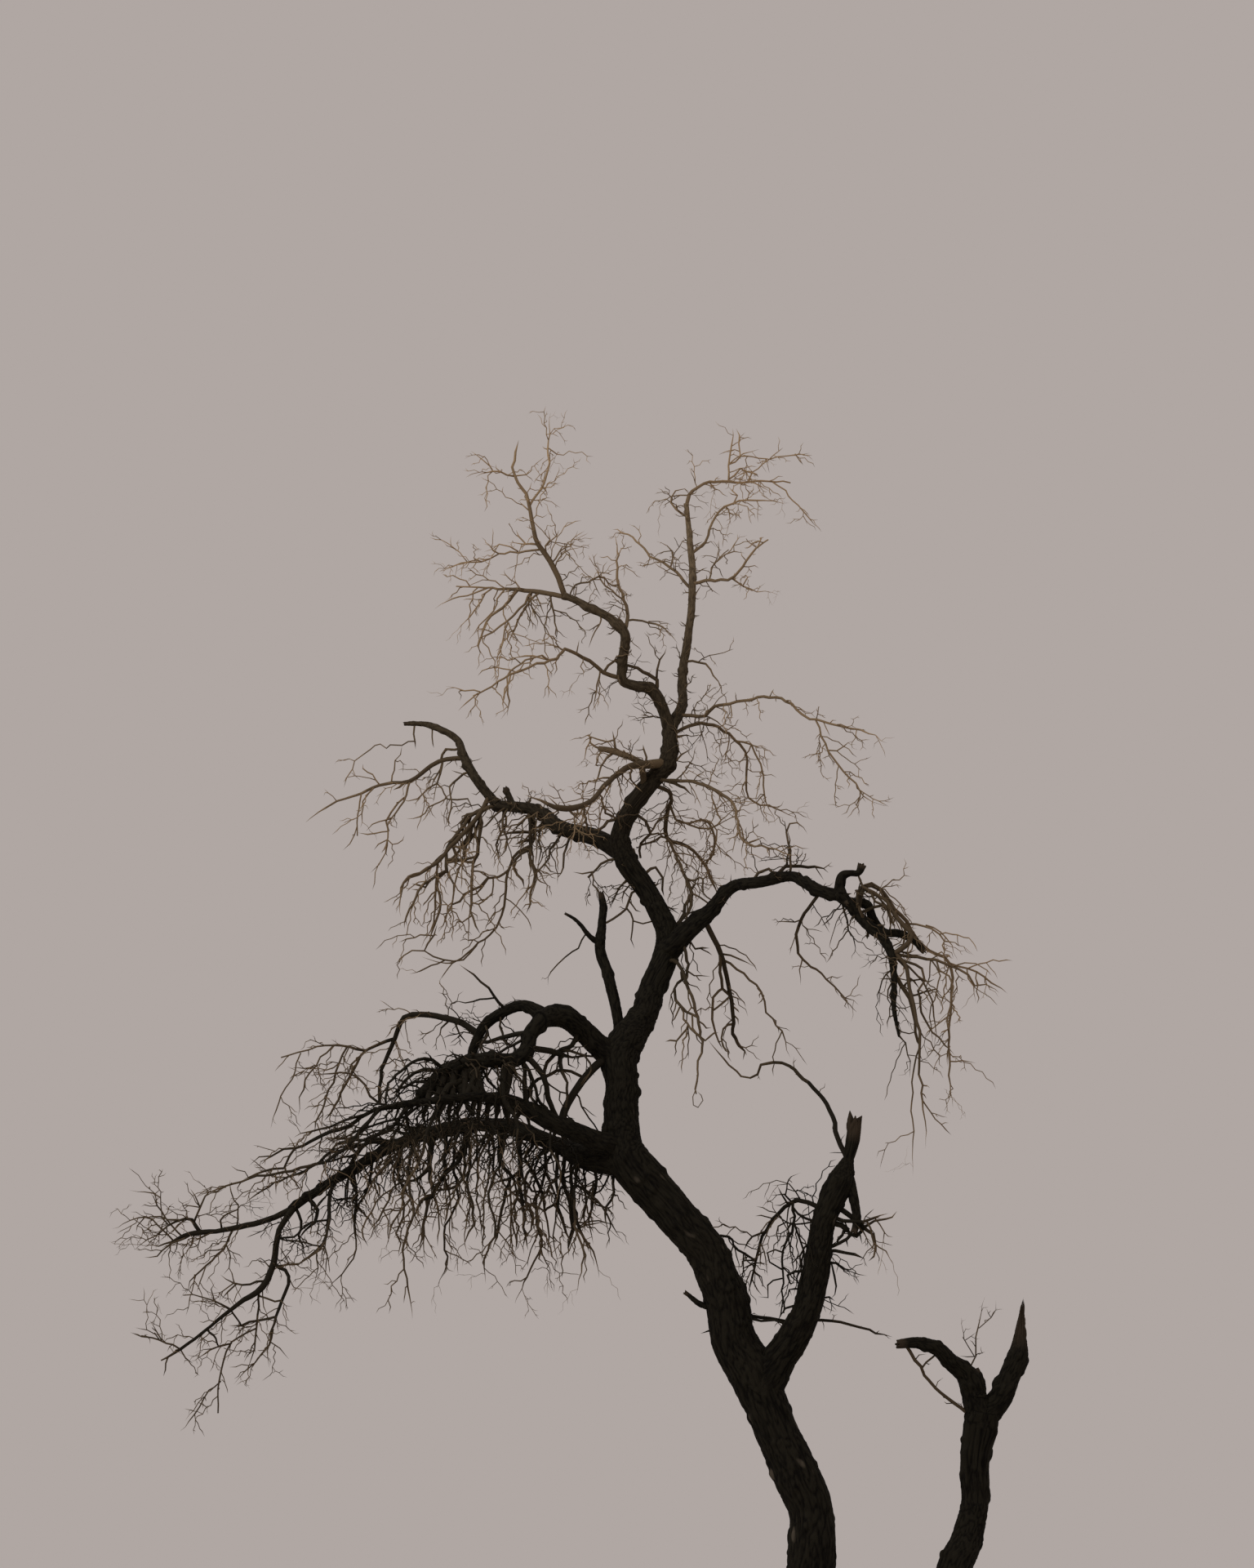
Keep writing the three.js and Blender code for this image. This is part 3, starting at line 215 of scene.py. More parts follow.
MASSES = {
    "second_stem_loop_twigs": Mass(SPARSE, """
  second_stem > second_stem_torn_arm| | 10 9 8 8 9 9| 840,2140 720,2170 655,2220 580,2310 535,2385 490,2420
    """, """
  0 > second_stem_torn_arm| | 5 5| 562,2336 588,2370 640,2405
    """),
    "second_stem_upright_twigs": Mass(SPARSE, """
  second_stem_torn_arm| 60| 4.5 3| 800,2300 835,2400 862,2540 900,2700;
  0| -40| 3.5 2.5| 835,2400 790,2480 775,2600;
  0| 40| 3.5 2.5| 862,2540 930,2600 955,2680
    """),
    "bridging_twig": Mass(SPARSE, """
  trunk| 150 180 200| 10 5| -412,2600 -290,2600 -160,2580 62,2575 165,2568 260,2545 340,2520 425,2495
    """),
    "snag_left_twigs": Mass(WEEPING, """
  snag| 200 380 450| 13 5| 95,3150 -30,3185 -78,3177 -148,3120 -195,3065 -243,2970 -268,2880 -290,2790
    -310,2710;
  0| -60| 8 4| -70,3178 -70,3065 -113,2960 -135,2850 -132,2730 -130,2615;
  1| 60| 6 4| -74,3085 -20,2930 -55,2800 -80,2700;
  0| -40| 6 4| -78,3177 -110,3215 -190,3212
    """, """
  0| -20| 6 3| -100,3170 -125,3220 -150,3260;
  trunk > 0| | 7 6| -500,3030 -410,3005 -377,2960 -330,2914 -265,2877;
  1 > snag| | 7 7| -65,3150 -10,3100 30,3085;
  snag| -30| 5 4| 10,3090 -68,3070 -142,3055 -150,3005;
  0| -20| 4 3| -190,3105 -230,3108 -270,3106;
  0| 40| 6 4| -215,3034 -280,2997 -310,2970 -330,2927;
  0| 20| 5 3| -270,2877 -315,2885 -340,2890;
  0| -20| 5 3| -275,2868 -310,2855 -335,2840;
  0| 20| 4 3| -268,2870 -230,2862 -205,2858;
  0| 30| 5 3| -285,2820 -245,2800 -235,2755;
  snag| -50| 6 4| 20,2995 -23,2940 -40,2860 -60,2800;
  snag| 50| 6 4| 30,2980 -5,2920 -25,2850 -45,2790;
  1 > 1| | 5 5| -137,2835 -190,2865 -205,2920 -170,2938 -120,2925;
  1| 30| 5 3| -137,2790 -207,2753 -215,2700 -263,2698;
  snag| -30| 8 5| -30,2830 -70,2820 -105,2800 -95,2765 -60,2770;
  snag| 20| 6 4| -60,2750 -100,2730 -85,2700;
  snag| -20| 8 5| -40,2660 -75,2655 -125,2640 -158,2585;
  trunk > snag| | 7 6| -330,2600 -290,2590 -245,2580 -180,2577 -90,2570;
  1| 20| 6 3| -137,2700 -128,2657 -140,2600 -160,2575;
  trunk| -30| 8 5| -440,2545 -500,2535 -555,2513
    """),
    "snag_right_twigs": Mass(ARCHING, """
  snag| -80 -140| 12 5| 92,3110 190,3085 290,3080 350,3092 420,3120;
  0| -60| 6 4| 305,3083 340,2970 310,2915
    """, """
  snag| -40| 15 13 10 7 5 5 4| 244,3110 270,3070 300,3043 335,3015 350,2970 335,2900 308,2875;
  2| 30| 8 6 5 4 3| 295,3050 340,3075 405,3087 443,3094 466,3135;
  2| -10| 14 13 13 12 11| 255,3095 278,3030 250,3008 215,3015 200,3060;
  snag > 4| | 16 14| 70,3075 135,3070 175,3060 210,3035;
  4 > snag| | 13 11| 225,3012 170,2970 135,2955 70,2925;
  5| 20| 8 5| 190,3040 158,2980 150,2950;
  4| -20| 6 5| 270,3015 280,2960;
  6| 20| 7 5| 195,2995 207,2945;
  snag| -40| 11 9 8 8 6| 60,2935 140,2930 200,2918 245,2910 295,2887;
  snag| 40| 8 5| 50,2880 140,2865 180,2840 230,2832;
  snag| -30| 7 6 6 5 3| 60,2875 125,2865 130,2805 138,2750 110,2685;
  snag| 20| 7 4| 20,2695 75,2695 110,2690 135,2675
    """),
    "snag_arching_twig": Mass(SPARSE, """
  snag| 200 400 550| 14 4| 215,3385 165,3510 143,3620 93,3715 -5,3820 -75,3885 -160,3900 -222,3893 -240,3845
    -290,3820 -420,3925 -503,4025
    """),
    "curtain_1_twigs": Mass(WEEPING, """
  low_bough| -150 -350 -420| 9 4| -1190,3435 -1195,3300 -1195,3050 -1150,2900 -1190,2700;
  0| -60| 8 4| -1195,3270 -1080,3190 -1010,3080 -960,2990;
  0| 80| 6 4| -1195,3060 -1100,2930 -1070,2790
    """, """
  low_bough| -40 -60| 16 14 12 11 10 8 7 5| -1495,3550 -1490,3470 -1482,3400 -1480,3340 -1485,3280 -1470,3220
    -1463,3160 -1460,3080 -1452,3010 -1435,2930;
  low_bough| 60 100| 9 9 8 9 9 8 6 5 4| -1410,3500 -1425,3460 -1455,3400 -1430,3350 -1405,3305 -1380,3270
    -1372,3230 -1355,3195 -1352,3130 -1335,3085 -1330,3000 -1340,2900;
  3 > 4| | 7 7| -1480,3320 -1445,3270 -1420,3237 -1370,3230;
  low_bough| -80 -140| 12 9 8 9 7 5| -1300,3460 -1290,3380 -1295,3280 -1285,3200 -1285,3150 -1265,3115
    -1255,3060 -1240,3025 -1215,2960;
  low_bough| 60 80| 12 10 10 11 12 12 9 6| -1250,3440 -1258,3360 -1265,3290 -1250,3240 -1230,3200 -1215,3160
    -1210,3100 -1205,3040 -1218,2980 -1225,2900;
  low_bough| -60 -120| 9 8 8 8 9 9 7 5| -1200,3430 -1213,3360 -1215,3290 -1220,3220 -1200,3160 -1185,3080
    -1172,3040 -1140,2980 -1120,2920;
  low_bough| 120| 8 6 6 5 5| -1150,3410 -1150,3330 -1140,3260 -1140,3180 -1160,3100 -1180,3060;
  9| -60| 6 4| -1140,3210 -1085,3165 -1030,3145 -990,3165;
  low_bough| 60| 6 4| -1020,3310 -1035,3275 -1070,3240 -1120,3212 -1150,3200;
  6| -60| 7 6 6 5| -1287,3175 -1340,3145 -1355,3125 -1390,3160 -1430,3172 -1480,3145 -1505,3165;
  3| -40| 10 9 8 5| -1482,3340 -1510,3318 -1545,3298 -1580,3282 -1640,3268;
  low_bough| 30 -40| 22 18 12 9 9 8 8 7 5| -1575,3560 -1580,3470 -1588,3400 -1560,3350 -1530,3315 -1555,3240
    -1560,3180 -1580,3120 -1590,3060 -1600,3000 -1620,2930;
  14| 60| 6 4| -1535,3300 -1525,3200 -1520,3130 -1515,3060 -1503,3015 -1490,2940;
  3| -60| 7 5| -1466,3190 -1430,3150 -1415,3090 -1422,3040 -1450,2990 -1465,2930;
  low_bough| 40| 9 6 5| -1625,3570 -1622,3480 -1620,3400 -1620,3340 -1590,3310 -1565,3300;
  low_bough| -120| 8 6 5 5 4| -1660,3580 -1645,3480 -1640,3390 -1642,3320 -1655,3260 -1660,3200 -1665,3130
    -1670,3060 -1665,2990 -1675,2900;
  low_bough| 100| 8 6 5 4| -1710,3580 -1705,3450 -1700,3330 -1702,3250 -1700,3180 -1690,3120 -1680,3050
    -1670,2980;
  low_bough| -60| 10 8 7 7 6 4| -1750,3580 -1745,3450 -1742,3340 -1755,3280 -1740,3230 -1725,3180 -1720,3110
    -1715,3060 -1745,3020 -1765,2950;
  low_bough| -20| 7 5| -1320,3470 -1340,3430 -1370,3445 -1400,3468;
  low_bough| -30| 8 5| -1320,3440 -1350,3370 -1390,3320 -1440,3300;
  8| 60| 5 3| -1180,3075 -1110,3078 -1040,3072 -990,3060;
  8| -40| 5 3| -1172,3045 -1110,3060 -1040,3080;
  low_bough| -120| 9 4| -1010,3330 -1000,3230 -1040,3120 -1030,3000;
  low_bough| 120| 10 4| -1100,3380 -1090,3250 -1120,3100 -1100,2960
    """),
    "curtain_2_twigs": Mass(WEEPING, """
  low_bough| 200 350| 9 4| -1340,3495 -1350,3330 -1400,3150 -1370,2950 -1440,2800 -1500,2660;
  0| -100| 7 4| -1350,3330 -1290,3180 -1310,3000 -1270,2830
    """),
    "curtain_3_twigs": Mass(WEEPING, """
  low_bough| -180 -320| 9 4| -1560,3562 -1580,3400 -1640,3220 -1600,3040 -1660,2890 -1650,2760;
  0| 120| 7 4| -1585,3390 -1500,3240 -1530,3060 -1510,2880
    """),
    "curtain_4_twigs": Mass(WEEPING, """
  low_bough| 150 300| 9 4| -1800,3570 -1830,3380 -1800,3200 -1870,3020 -1850,2860 -1900,2740;
  0| -120| 7 4| -1828,3390 -1740,3230 -1760,3050 -1740,2890
    """),
    "curtain_5_twigs": Mass(WEEPING, """
  low_bough| -200 -350| 9 4| -2020,3512 -2060,3340 -2030,3120 -2080,2930 -2050,2750 -2020,2580;
  0| 120| 7 4| -2058,3350 -1960,3200 -1975,3020 -1950,2850;
  0| -80| 6 4| -2040,3200 -2130,3080 -2160,2920
    """, """
  low_bough| 60| 16 14 12 9 6| -1915,3520 -1950,3420 -1955,3345 -2000,3300 -2110,3280;
  low_bough| -50| 8 5| -2075,3490 -2100,3435 -2115,3360 -2110,3300 -2095,3220;
  low_bough| 40| 7 5| -2060,3490 -2015,3410 -2010,3350 -2050,3350 -2100,3325;
  3| -60| 10 8 6 4| -2095,3285 -2140,3250 -2160,3190 -2180,3140 -2205,3085 -2260,3020;
  6| 60| 8 6 4| -2145,3245 -2190,3220 -2220,3180 -2240,3130 -2270,3090 -2290,3030 -2280,3000 -2255,2950;
  low_bough| -60| 14 12 10 11 12 10 8 5| -1935,3530 -1940,3460 -1945,3380 -1945,3300 -1925,3240 -1930,3208
    -1980,3190 -2005,3150 -2020,3100;
  8| 60| 9 8 7 4| -1945,3200 -1965,3130 -1975,3080 -1980,3000 -1990,2920;
  low_bough > 8| | 13 11 9 9 8 9| -1865,3560 -1870,3460 -1872,3400 -1872,3320 -1890,3280 -1925,3225;
  low_bough > 10| | 12 11 12 10 9| -1760,3575 -1775,3460 -1800,3390 -1840,3350 -1885,3290;
  low_bough > 8| | 10 8 8 9 8 7 7| -1745,3580 -1765,3450 -1768,3360 -1770,3300 -1800,3260 -1840,3245
    -1922,3235;
  low_bough| 100| 9 7 7 7 6 6 5 4| -2090,3490 -2105,3440 -2105,3380 -2105,3300 -2085,3240 -2080,3160
    -2085,3100 -2100,3050 -2112,3020 -2095,2975 -2100,2900;
  low_bough| -100| 7 5 5 5 4| -2055,3500 -2030,3440 -2010,3420 -2005,3350 -2000,3280 -2000,3200 -2010,3130
    -2030,3060;
  low_bough| 60| 12 10 9 8 6 5 4| -2340,3350 -2360,3300 -2340,3260 -2320,3210 -2335,3180 -2310,3140
    -2280,3110 -2240,3080;
  low_bough| -40| 6 5 4| -2370,3340 -2372,3290 -2376,3230 -2370,3160 -2340,3135;
  15| -20| 7 6| -2325,3205 -2400,3197 -2470,3177;
  6 > 13| | 5 5| -2178,3132 -2120,3137 -2083,3145;
  6| 40| 5 3| -2178,3130 -2160,3080 -2155,3020 -2150,2960;
  8| -40| 6 4| -1925,3205 -1900,3140 -1890,3080 -1896,3010 -1900,2950;
  9| 20| 4 3| -1968,3105 -1920,3103 -1900,3095;
  10| 60| 6 4| -1875,3310 -1850,3230 -1840,3180 -1855,3100 -1875,3050;
  12| 40| 5 3| -1795,3262 -1790,3200 -1802,3150 -1832,3085
    """),
    "curtain_6_twigs": Mass(WEEPING, """
  low_bough| -150 -300| 10 4| -2430,3298 -2460,3220 -2460,3095 -2475,2980 -2570,2890 -2710,2845
    """, """
  low_bough| 140| 9 4| -2240,3410 -2270,3250 -2330,3100 -2290,2930;
  low_bough| 40| 7 5| -2370,3340 -2375,3250 -2375,3200 -2350,3140;
  low_bough| -40| 8 5| -2355,3345 -2325,3230 -2335,3190 -2300,3140
    """),
    "low_left_twigs": Mass(ARCHING, """
  low_bough| 150 300| 22 16 16 13 16 8 5 3| -2660,3140 -2740,3100 -2920,3050 -3040,3030 -3145,3018 -3235,2997
    -3300,2960 -3440,2965;
  0| -80| 6 4| -3210,3003 -3350,3160 -3390,3230;
  0| 120| 6 4| -3260,2985 -3410,3100 -3580,3040;
  0| 100| 7 4| -2955,3045 -3000,2940 -3085,2850 -3140,2810 -3185,2700
    """, """
  0| 60| 11 11 10 8 7 6 4 4 3| -3115,3025 -3146,3057 -3169,3085 -3206,3089 -3250,3075 -3294,3053 -3345,3007
    -3398,2985 -3459,2931;
  4| -40| 7 6 6 5 3| -3156,3070 -3143,3112 -3131,3157 -3102,3203 -3065,3266;
  5| 20| 5 3| -3131,3157 -3155,3203 -3184,3248;
  5| -20| 4 3| -3135,3150 -3190,3157 -3226,3130;
  4| 60| 6 5 4 4 3| -3285,3060 -3319,3094 -3335,3203 -3381,3230 -3499,3239;
  4| -60| 5 3| -3215,3088 -3330,3098 -3385,3105 -3453,3098;
  0| 40| 7 6 5 4 3| -3170,3015 -3228,2985 -3273,2963 -3342,2905 -3404,2896;
  0| 30| 5 3| -3150,3015 -3169,2958 -3184,2896;
  0| -30| 5 3| -3115,3020 -3120,2958 -3131,2914;
  0| -60| 7 6 5 4 3| -3010,3030 -3020,3085 -3000,3112 -2946,3144 -2849,3194;
  0| 40| 6 3| -2930,3048 -2929,3094 -2937,3157 -2967,3230 -2979,3294;
  3| 20| 4 3| -3085,2850 -3110,2771 -3125,2718;
  3| -30| 5 3| -2985,2960 -2962,2896 -2965,2842 -2995,2807
    """),
    "low_down_twigs": Mass(ARCHING, """
  low_bough| -60 -220 -320| 22 16 18 25 13 9 9 4| -2640,3155 -2715,3035 -2738,2870 -2790,2745 -2915,2660
    -3045,2550 -3195,2435 -3290,2380;
  0| 120| 7 4| -2810,2730 -2815,2475 -2845,2315;
  0| -120| 10 10 9 5 3| -2738,2880 -2660,2800 -2700,2640 -2745,2475 -2740,2340;
  0| 60| 7 4| -2780,2775 -2940,2765 -3010,2810;
  1| 60| 6 4| -2815,2540 -2935,2465 -2980,2330 -2990,2120;
  4| 40| 5 4| -2935,2465 -3010,2445 -3130,2375;
  4| 60| 4 4| -2985,2270 -3065,2200 -3105,2110 -3180,2030;
  0| -60| 6 4| -3200,2430 -3305,2485 -3395,2505 -3455,2520
    """, """
  low_bough > 0| | 12 11 10 9 8 9 7 6 5 6 8| -2420,3300 -2457,3239 -2463,3166 -2463,3075 -2469,3012
    -2489,2967 -2523,2931 -2567,2896 -2610,2860 -2655,2856 -2735,2845;
  8| -30| 5 3| -2515,2935 -2515,2842 -2529,2745;
  2| 40| 6 3| -2719,2540 -2739,2452 -2776,2408 -2820,2373 -2863,2330 -2918,2260;
  2| 60| 8 8 8 8 4| -2710,2602 -2796,2585 -2849,2571 -2884,2558 -2956,2553;
  0| 40| 8 6 5 4 3| -2950,2625 -2997,2656 -3038,2682 -3093,2696 -3194,2705;
  0 > 11| | 7 6| -2950,2630 -2920,2594 -2893,2560;
  12| 20| 5 3| -3035,2680 -3050,2736 -3034,2771;
  12| 20| 4 3| -3150,2700 -3160,2650 -3175,2600;
  3| -20| 6 3| -2928,2766 -2964,2727 -3000,2682;
  1 > 2| | 6 6| -2805,2690 -2720,2674 -2670,2669;
  7| 20| 5 3| -3293,2478 -3318,2523 -3356,2576;
  0 > 5| | 7 6| -3058,2540 -3030,2500 -3000,2455;
  0| 20| 5 3| -3250,2400 -3268,2338 -3275,2300;
  0| -30| 5 4| -3200,2430 -3163,2384 -3127,2365;
  0 > 8| | 6 6| -2705,3000 -2645,2998 -2597,3040 -2550,3075 -2465,3085;
  low_bough| 40| 9 8 7 5 3| -2640,3150 -2600,3075 -2617,3012 -2588,2949 -2580,2896;
  low_bough| -40| 12 11 9 7 4| -2570,3200 -2520,3139 -2537,3075 -2564,3048 -2610,3000;
  8 > 0| | 5 5| -2500,2956 -2570,2971 -2624,2976 -2725,2985;
  low_bough| 60| 8 7 6 5 4 3| -2340,3340 -2325,3200 -2330,3060 -2317,2940 -2386,2816 -2456,2740;
  0| 20| 5 3| -2735,2830 -2780,2870 -2800,2872
    """),
    "upper_low_tip_twigs": Mass(ARCHING, """
  upper_low_bough| -40 -120| 11 4| -2220,3660 -2300,3560 -2400,3450 -2490,3385 -2615,3350 -2745,3325
    -2885,3300 -3000,3255 -3185,3205
    """, """
  upper_low_bough| 60 100| 12 15 14 13 12 10 9 7 6 5 4| -2190,3675 -2250,3650 -2310,3620 -2370,3570
    -2430,3550 -2510,3525 -2570,3490 -2650,3455 -2710,3450 -2770,3415 -2830,3380;
  1| 40| 8 8 7 6 5 4| -2650,3455 -2670,3420 -2700,3355 -2755,3350 -2850,3320 -2910,3295;
  2| 60| 5 4| -2700,3355 -2680,3330 -2640,3280 -2590,3225;
  low_bough > low_bough| | 15 15 14 13 13| -2100,3490 -2165,3485 -2275,3485 -2330,3425 -2380,3350;
  4| -40 -80| 9 8 8 7 6 5 4| -2280,3480 -2390,3450 -2460,3430 -2500,3410 -2520,3380 -2560,3355 -2630,3320
    -2680,3305 -2720,3285 -2780,3260 -2830,3225 -2910,3155;
  low_bough > 5| | 9 9 8 7| -2150,3510 -2210,3505 -2290,3500 -2380,3485 -2430,3475 -2500,3410;
  4| 50| 7 5| -2330,3430 -2390,3410 -2450,3395 -2570,3375;
  upper_low_bough| 80| 7 4| -1960,3640 -2080,3625 -2180,3600 -2300,3560 -2400,3510 -2480,3490;
  low_bough| -60| 7 4| -1980,3580 -2100,3575 -2200,3550 -2320,3520 -2420,3500 -2520,3510;
  low_bough| 100| 7 4| -2020,3550 -2140,3545 -2240,3525 -2350,3470 -2440,3450 -2560,3440;
  1| -80| 7 4| -2290,3630 -2400,3600 -2480,3560 -2570,3550 -2660,3510
    """),
    "upper_low_hanging_twigs": Mass(WEEPING, """
  upper_low_bough| -120 -200| 10 4| -1900,3707 -1960,3560 -2000,3400 -2080,3230 -2110,3060;
  0| 120| 6 4| -1960,3560 -2110,3440 -2230,3300 -2280,3140
    """, """
  upper_low_bough| -160| 8 4| -1330,3595 -1320,3450 -1270,3330 -1300,3150;
  upper_low_bough| 100| 9 4| -1600,3705 -1620,3560 -1690,3400 -1700,3200
    """),
    "arch_inner_twigs": Mass(WEEPING, """
  arch_bough| -60 -160| 14 6| -1185,4105 -1215,3990 -1290,3960 -1360,3860 -1330,3730 -1310,3635;
  0| -80| 8 4| -1270,3968 -1150,3940 -1110,3860 -1180,3770
    """, """
  knotted_limb > trunk| | 17 17 14 6 5| -1440,3975 -1330,3965 -1270,3945 -1220,3935 -1080,3942;
  2 > upper_low_bough| | 14 14 10 7 7 8| -1280,3950 -1280,3900 -1265,3855 -1245,3800 -1235,3720 -1250,3620;
  trunk > upper_low_bough| | 26 23 21 20 20 22| -1010,3930 -1060,3910 -1140,3830 -1200,3750 -1255,3650
    -1260,3560;
  upper_low_bough > 4| | 14 15 9 9 9 9| -1465,3670 -1440,3750 -1420,3790 -1360,3830 -1260,3862 -1150,3827;
  knotted_limb > upper_low_bough| | 16 15 14 14 13 13| -1430,3910 -1370,3840 -1350,3780 -1340,3720 -1310,3650
    -1280,3570;
  knotted_limb > upper_low_bough| | 10 9 8 8 7 7| -1470,3900 -1420,3820 -1400,3760 -1385,3690 -1350,3660
    -1310,3590;
  knotted_limb > upper_low_bough| | 12 10 13 15| -1480,3930 -1465,3855 -1462,3780 -1450,3660;
  6 > 3| | 5 5 6| -1345,3830 -1320,3775 -1240,3735;
  4 > upper_low_bough| | 5 4| -1200,3750 -1140,3640 -1100,3580 -1050,3490;
  arch_bough| -30| 6 4| -1150,4080 -1180,4020 -1240,3985 -1235,3940 -1235,3890 -1190,3870;
  11| 20| 4 3| -1240,3985 -1180,3985 -1200,3930 -1215,3895
    """),
    "knotted_limb_twigs": Mass(WEEPING, """
  knotted_limb| -100 -140| 20 6| -1560,3918 -1575,3810 -1570,3700 -1500,3600 -1520,3450;
  0| -60| 8 4| -1572,3730 -1670,3640 -1720,3500
    """, """
  knotted_limb > upper_low_bough| | 28 35| -1530,3890 -1560,3800 -1590,3715;
  knotted_limb > 2| | 7 6| -1700,3850 -1655,3815 -1610,3770 -1580,3750;
  knotted_limb > upper_low_bough| | 17 15| -1715,3900 -1700,3780 -1715,3712;
  knotted_limb > upper_low_bough| | 18 15| -1780,3890 -1775,3790 -1770,3710;
  knotted_limb > upper_low_bough| | 20 16| -1830,3880 -1840,3780 -1850,3705;
  knotted_limb > upper_low_bough| | 20 15| -1880,3850 -1900,3770 -1920,3700;
  knotted_limb > upper_low_bough| | 17 14| -1930,3800 -1960,3740 -1965,3700;
  upper_low_bough| 40| 16 13| -1595,3700 -1600,3650 -1625,3575;
  upper_low_bough| 30| 24 20| -1555,3690 -1552,3640 -1545,3565;
  upper_low_bough| 40| 16 10| -1485,3660 -1505,3610 -1495,3560;
  upper_low_bough| 60| 9 6| -1460,3630 -1440,3580 -1375,3520;
  upper_low_bough| 60| 20 14| -1330,3590 -1300,3545 -1310,3500;
  upper_low_bough| 60| 20 14| -1270,3560 -1255,3520 -1230,3480;
  upper_low_bough| 20| 16 12| -1645,3715 -1655,3650 -1665,3580;
  upper_low_bough| -20| 15 10| -1725,3712 -1735,3650 -1765,3580;
  upper_low_bough| 30| 12 8| -1765,3715 -1745,3650 -1710,3600;
  upper_low_bough| 20| 14 9| -1845,3710 -1860,3640 -1840,3560;
  upper_low_bough| 20| 12 7| -1960,3700 -1985,3620 -1975,3540;
  upper_low_bough| 30| 14 9| -1680,3715 -1700,3640 -1690,3560;
  upper_low_bough| 30| 12 7| -1790,3710 -1810,3640 -1795,3550;
  upper_low_bough| -30| 14 8| -1880,3705 -1910,3620 -1900,3530;
  knotted_limb > arch_branch| | 15 9| -1430,4070 -1550,4045 -1630,4020 -1720,4015;
  knotted_limb > upper_low_bough| | 18 16| -1690,3900 -1735,3800 -1765,3712;
  knotted_limb > upper_low_bough| | 15 13| -1750,3890 -1720,3800 -1690,3715;
  knotted_limb > upper_low_bough| | 14 12| -1810,3880 -1770,3830 -1700,3800 -1660,3718;
  knotted_limb > upper_low_bough| | 18 16| -1745,3870 -1800,3800 -1860,3780 -1900,3706;
  knotted_limb > upper_low_bough| | 16 14| -1870,3850 -1810,3770 -1745,3712;
  knotted_limb > upper_low_bough| | 15 13| -1910,3820 -1865,3750 -1820,3708;
  knotted_limb > knotted_limb| | 20 22| -1690,3880 -1750,3835 -1840,3820 -1935,3790;
  upper_low_bough > knotted_limb| | 18 22| -1680,3725 -1740,3770 -1840,3765 -1955,3765;
  arch_branch > knotted_limb| | 7 7| -1600,4150 -1585,4060 -1550,4000 -1520,3990 -1495,3930;
  knotted_limb > knotted_limb| | 8 6| -1450,4060 -1520,4000 -1580,3970 -1640,3915;
  13 > knotted_limb| | 7 7| -1620,4020 -1640,3970 -1645,3915;
  arch_branch > knotted_limb| | 7 7| -1680,4100 -1660,4050 -1690,3990 -1650,3920
    """),
    "knotted_limb_end_twigs": Mass(WEEPING, """
  knotted_limb| -40 -40| 14 5| -2010,3730 -2080,3660 -2150,3560 -2260,3500 -2360,3400;
  0| 100| 7 4| -2080,3660 -2060,3520 -2120,3380 -2150,3250
    """, """
  knotted_limb > upper_low_bough| | 10 9 8 7 6| -1870,3870 -1950,3920 -2020,3915 -2080,3880 -2140,3840
    -2170,3790 -2185,3670;
  knotted_limb| -60| 10 6| -1900,3850 -1990,3870 -2040,3850 -2090,3800 -2120,3760 -2170,3730;
  knotted_limb| 40| 9 6| -1930,3800 -2030,3800 -2080,3785 -2130,3760 -2140,3700
    """),
    "arch_far_twigs": Mass(ARCHING, """
  arch_branch| 100 250 300| 19 9| -1700,4050 -1800,4115 -1893,4140 -2010,4160 -2100,4140 -2145,4030
    -2180,3950 -2210,3865 -2215,3680;
  0| 120| 11 4| -2145,4025 -2225,4003 -2300,3965 -2385,3985 -2465,3995 -2740,3930;
  1| 60| 6 4| -2300,3965 -2365,3890 -2410,3775;
  1| 80| 6 4| -2465,3995 -2560,3890 -2620,3760 -2640,3620
    """, """
  1| 40| 9 5| -2300,3965 -2340,3900 -2365,3845 -2400,3790 -2435,3710 -2470,3640 -2505,3595;
  1| -60| 7 4| -2400,3985 -2435,3900 -2465,3800 -2500,3730 -2515,3650 -2540,3585 -2550,3530;
  1| 60| 5 3| -2640,3950 -2655,3900 -2680,3815 -2730,3730 -2755,3655 -2780,3550;
  0| -50| 8 4| -2220,3690 -2265,3730 -2300,3780 -2330,3825 -2380,3850 -2470,3850 -2570,3835;
  0| 30| 6 3| -1860,4130 -1900,4080 -1915,4040;
  0| -30| 6 4| -1830,4120 -1800,4050 -1760,4000
    """),
    "arch_top_twigs": Mass(SPURRED, """
  arch_branch| -100| 9 4| -1560,4180 -1600,4220 -1655,4295 -1740,4370 -1820,4430;
  0| 80| 5 4| -1620,4245 -1740,4225 -1900,4220
    """, """
  dead_stub| -60| 6 3| -1070,4555 -1150,4590 -1190,4515 -1255,4465 -1335,4395 -1345,4310
    """),
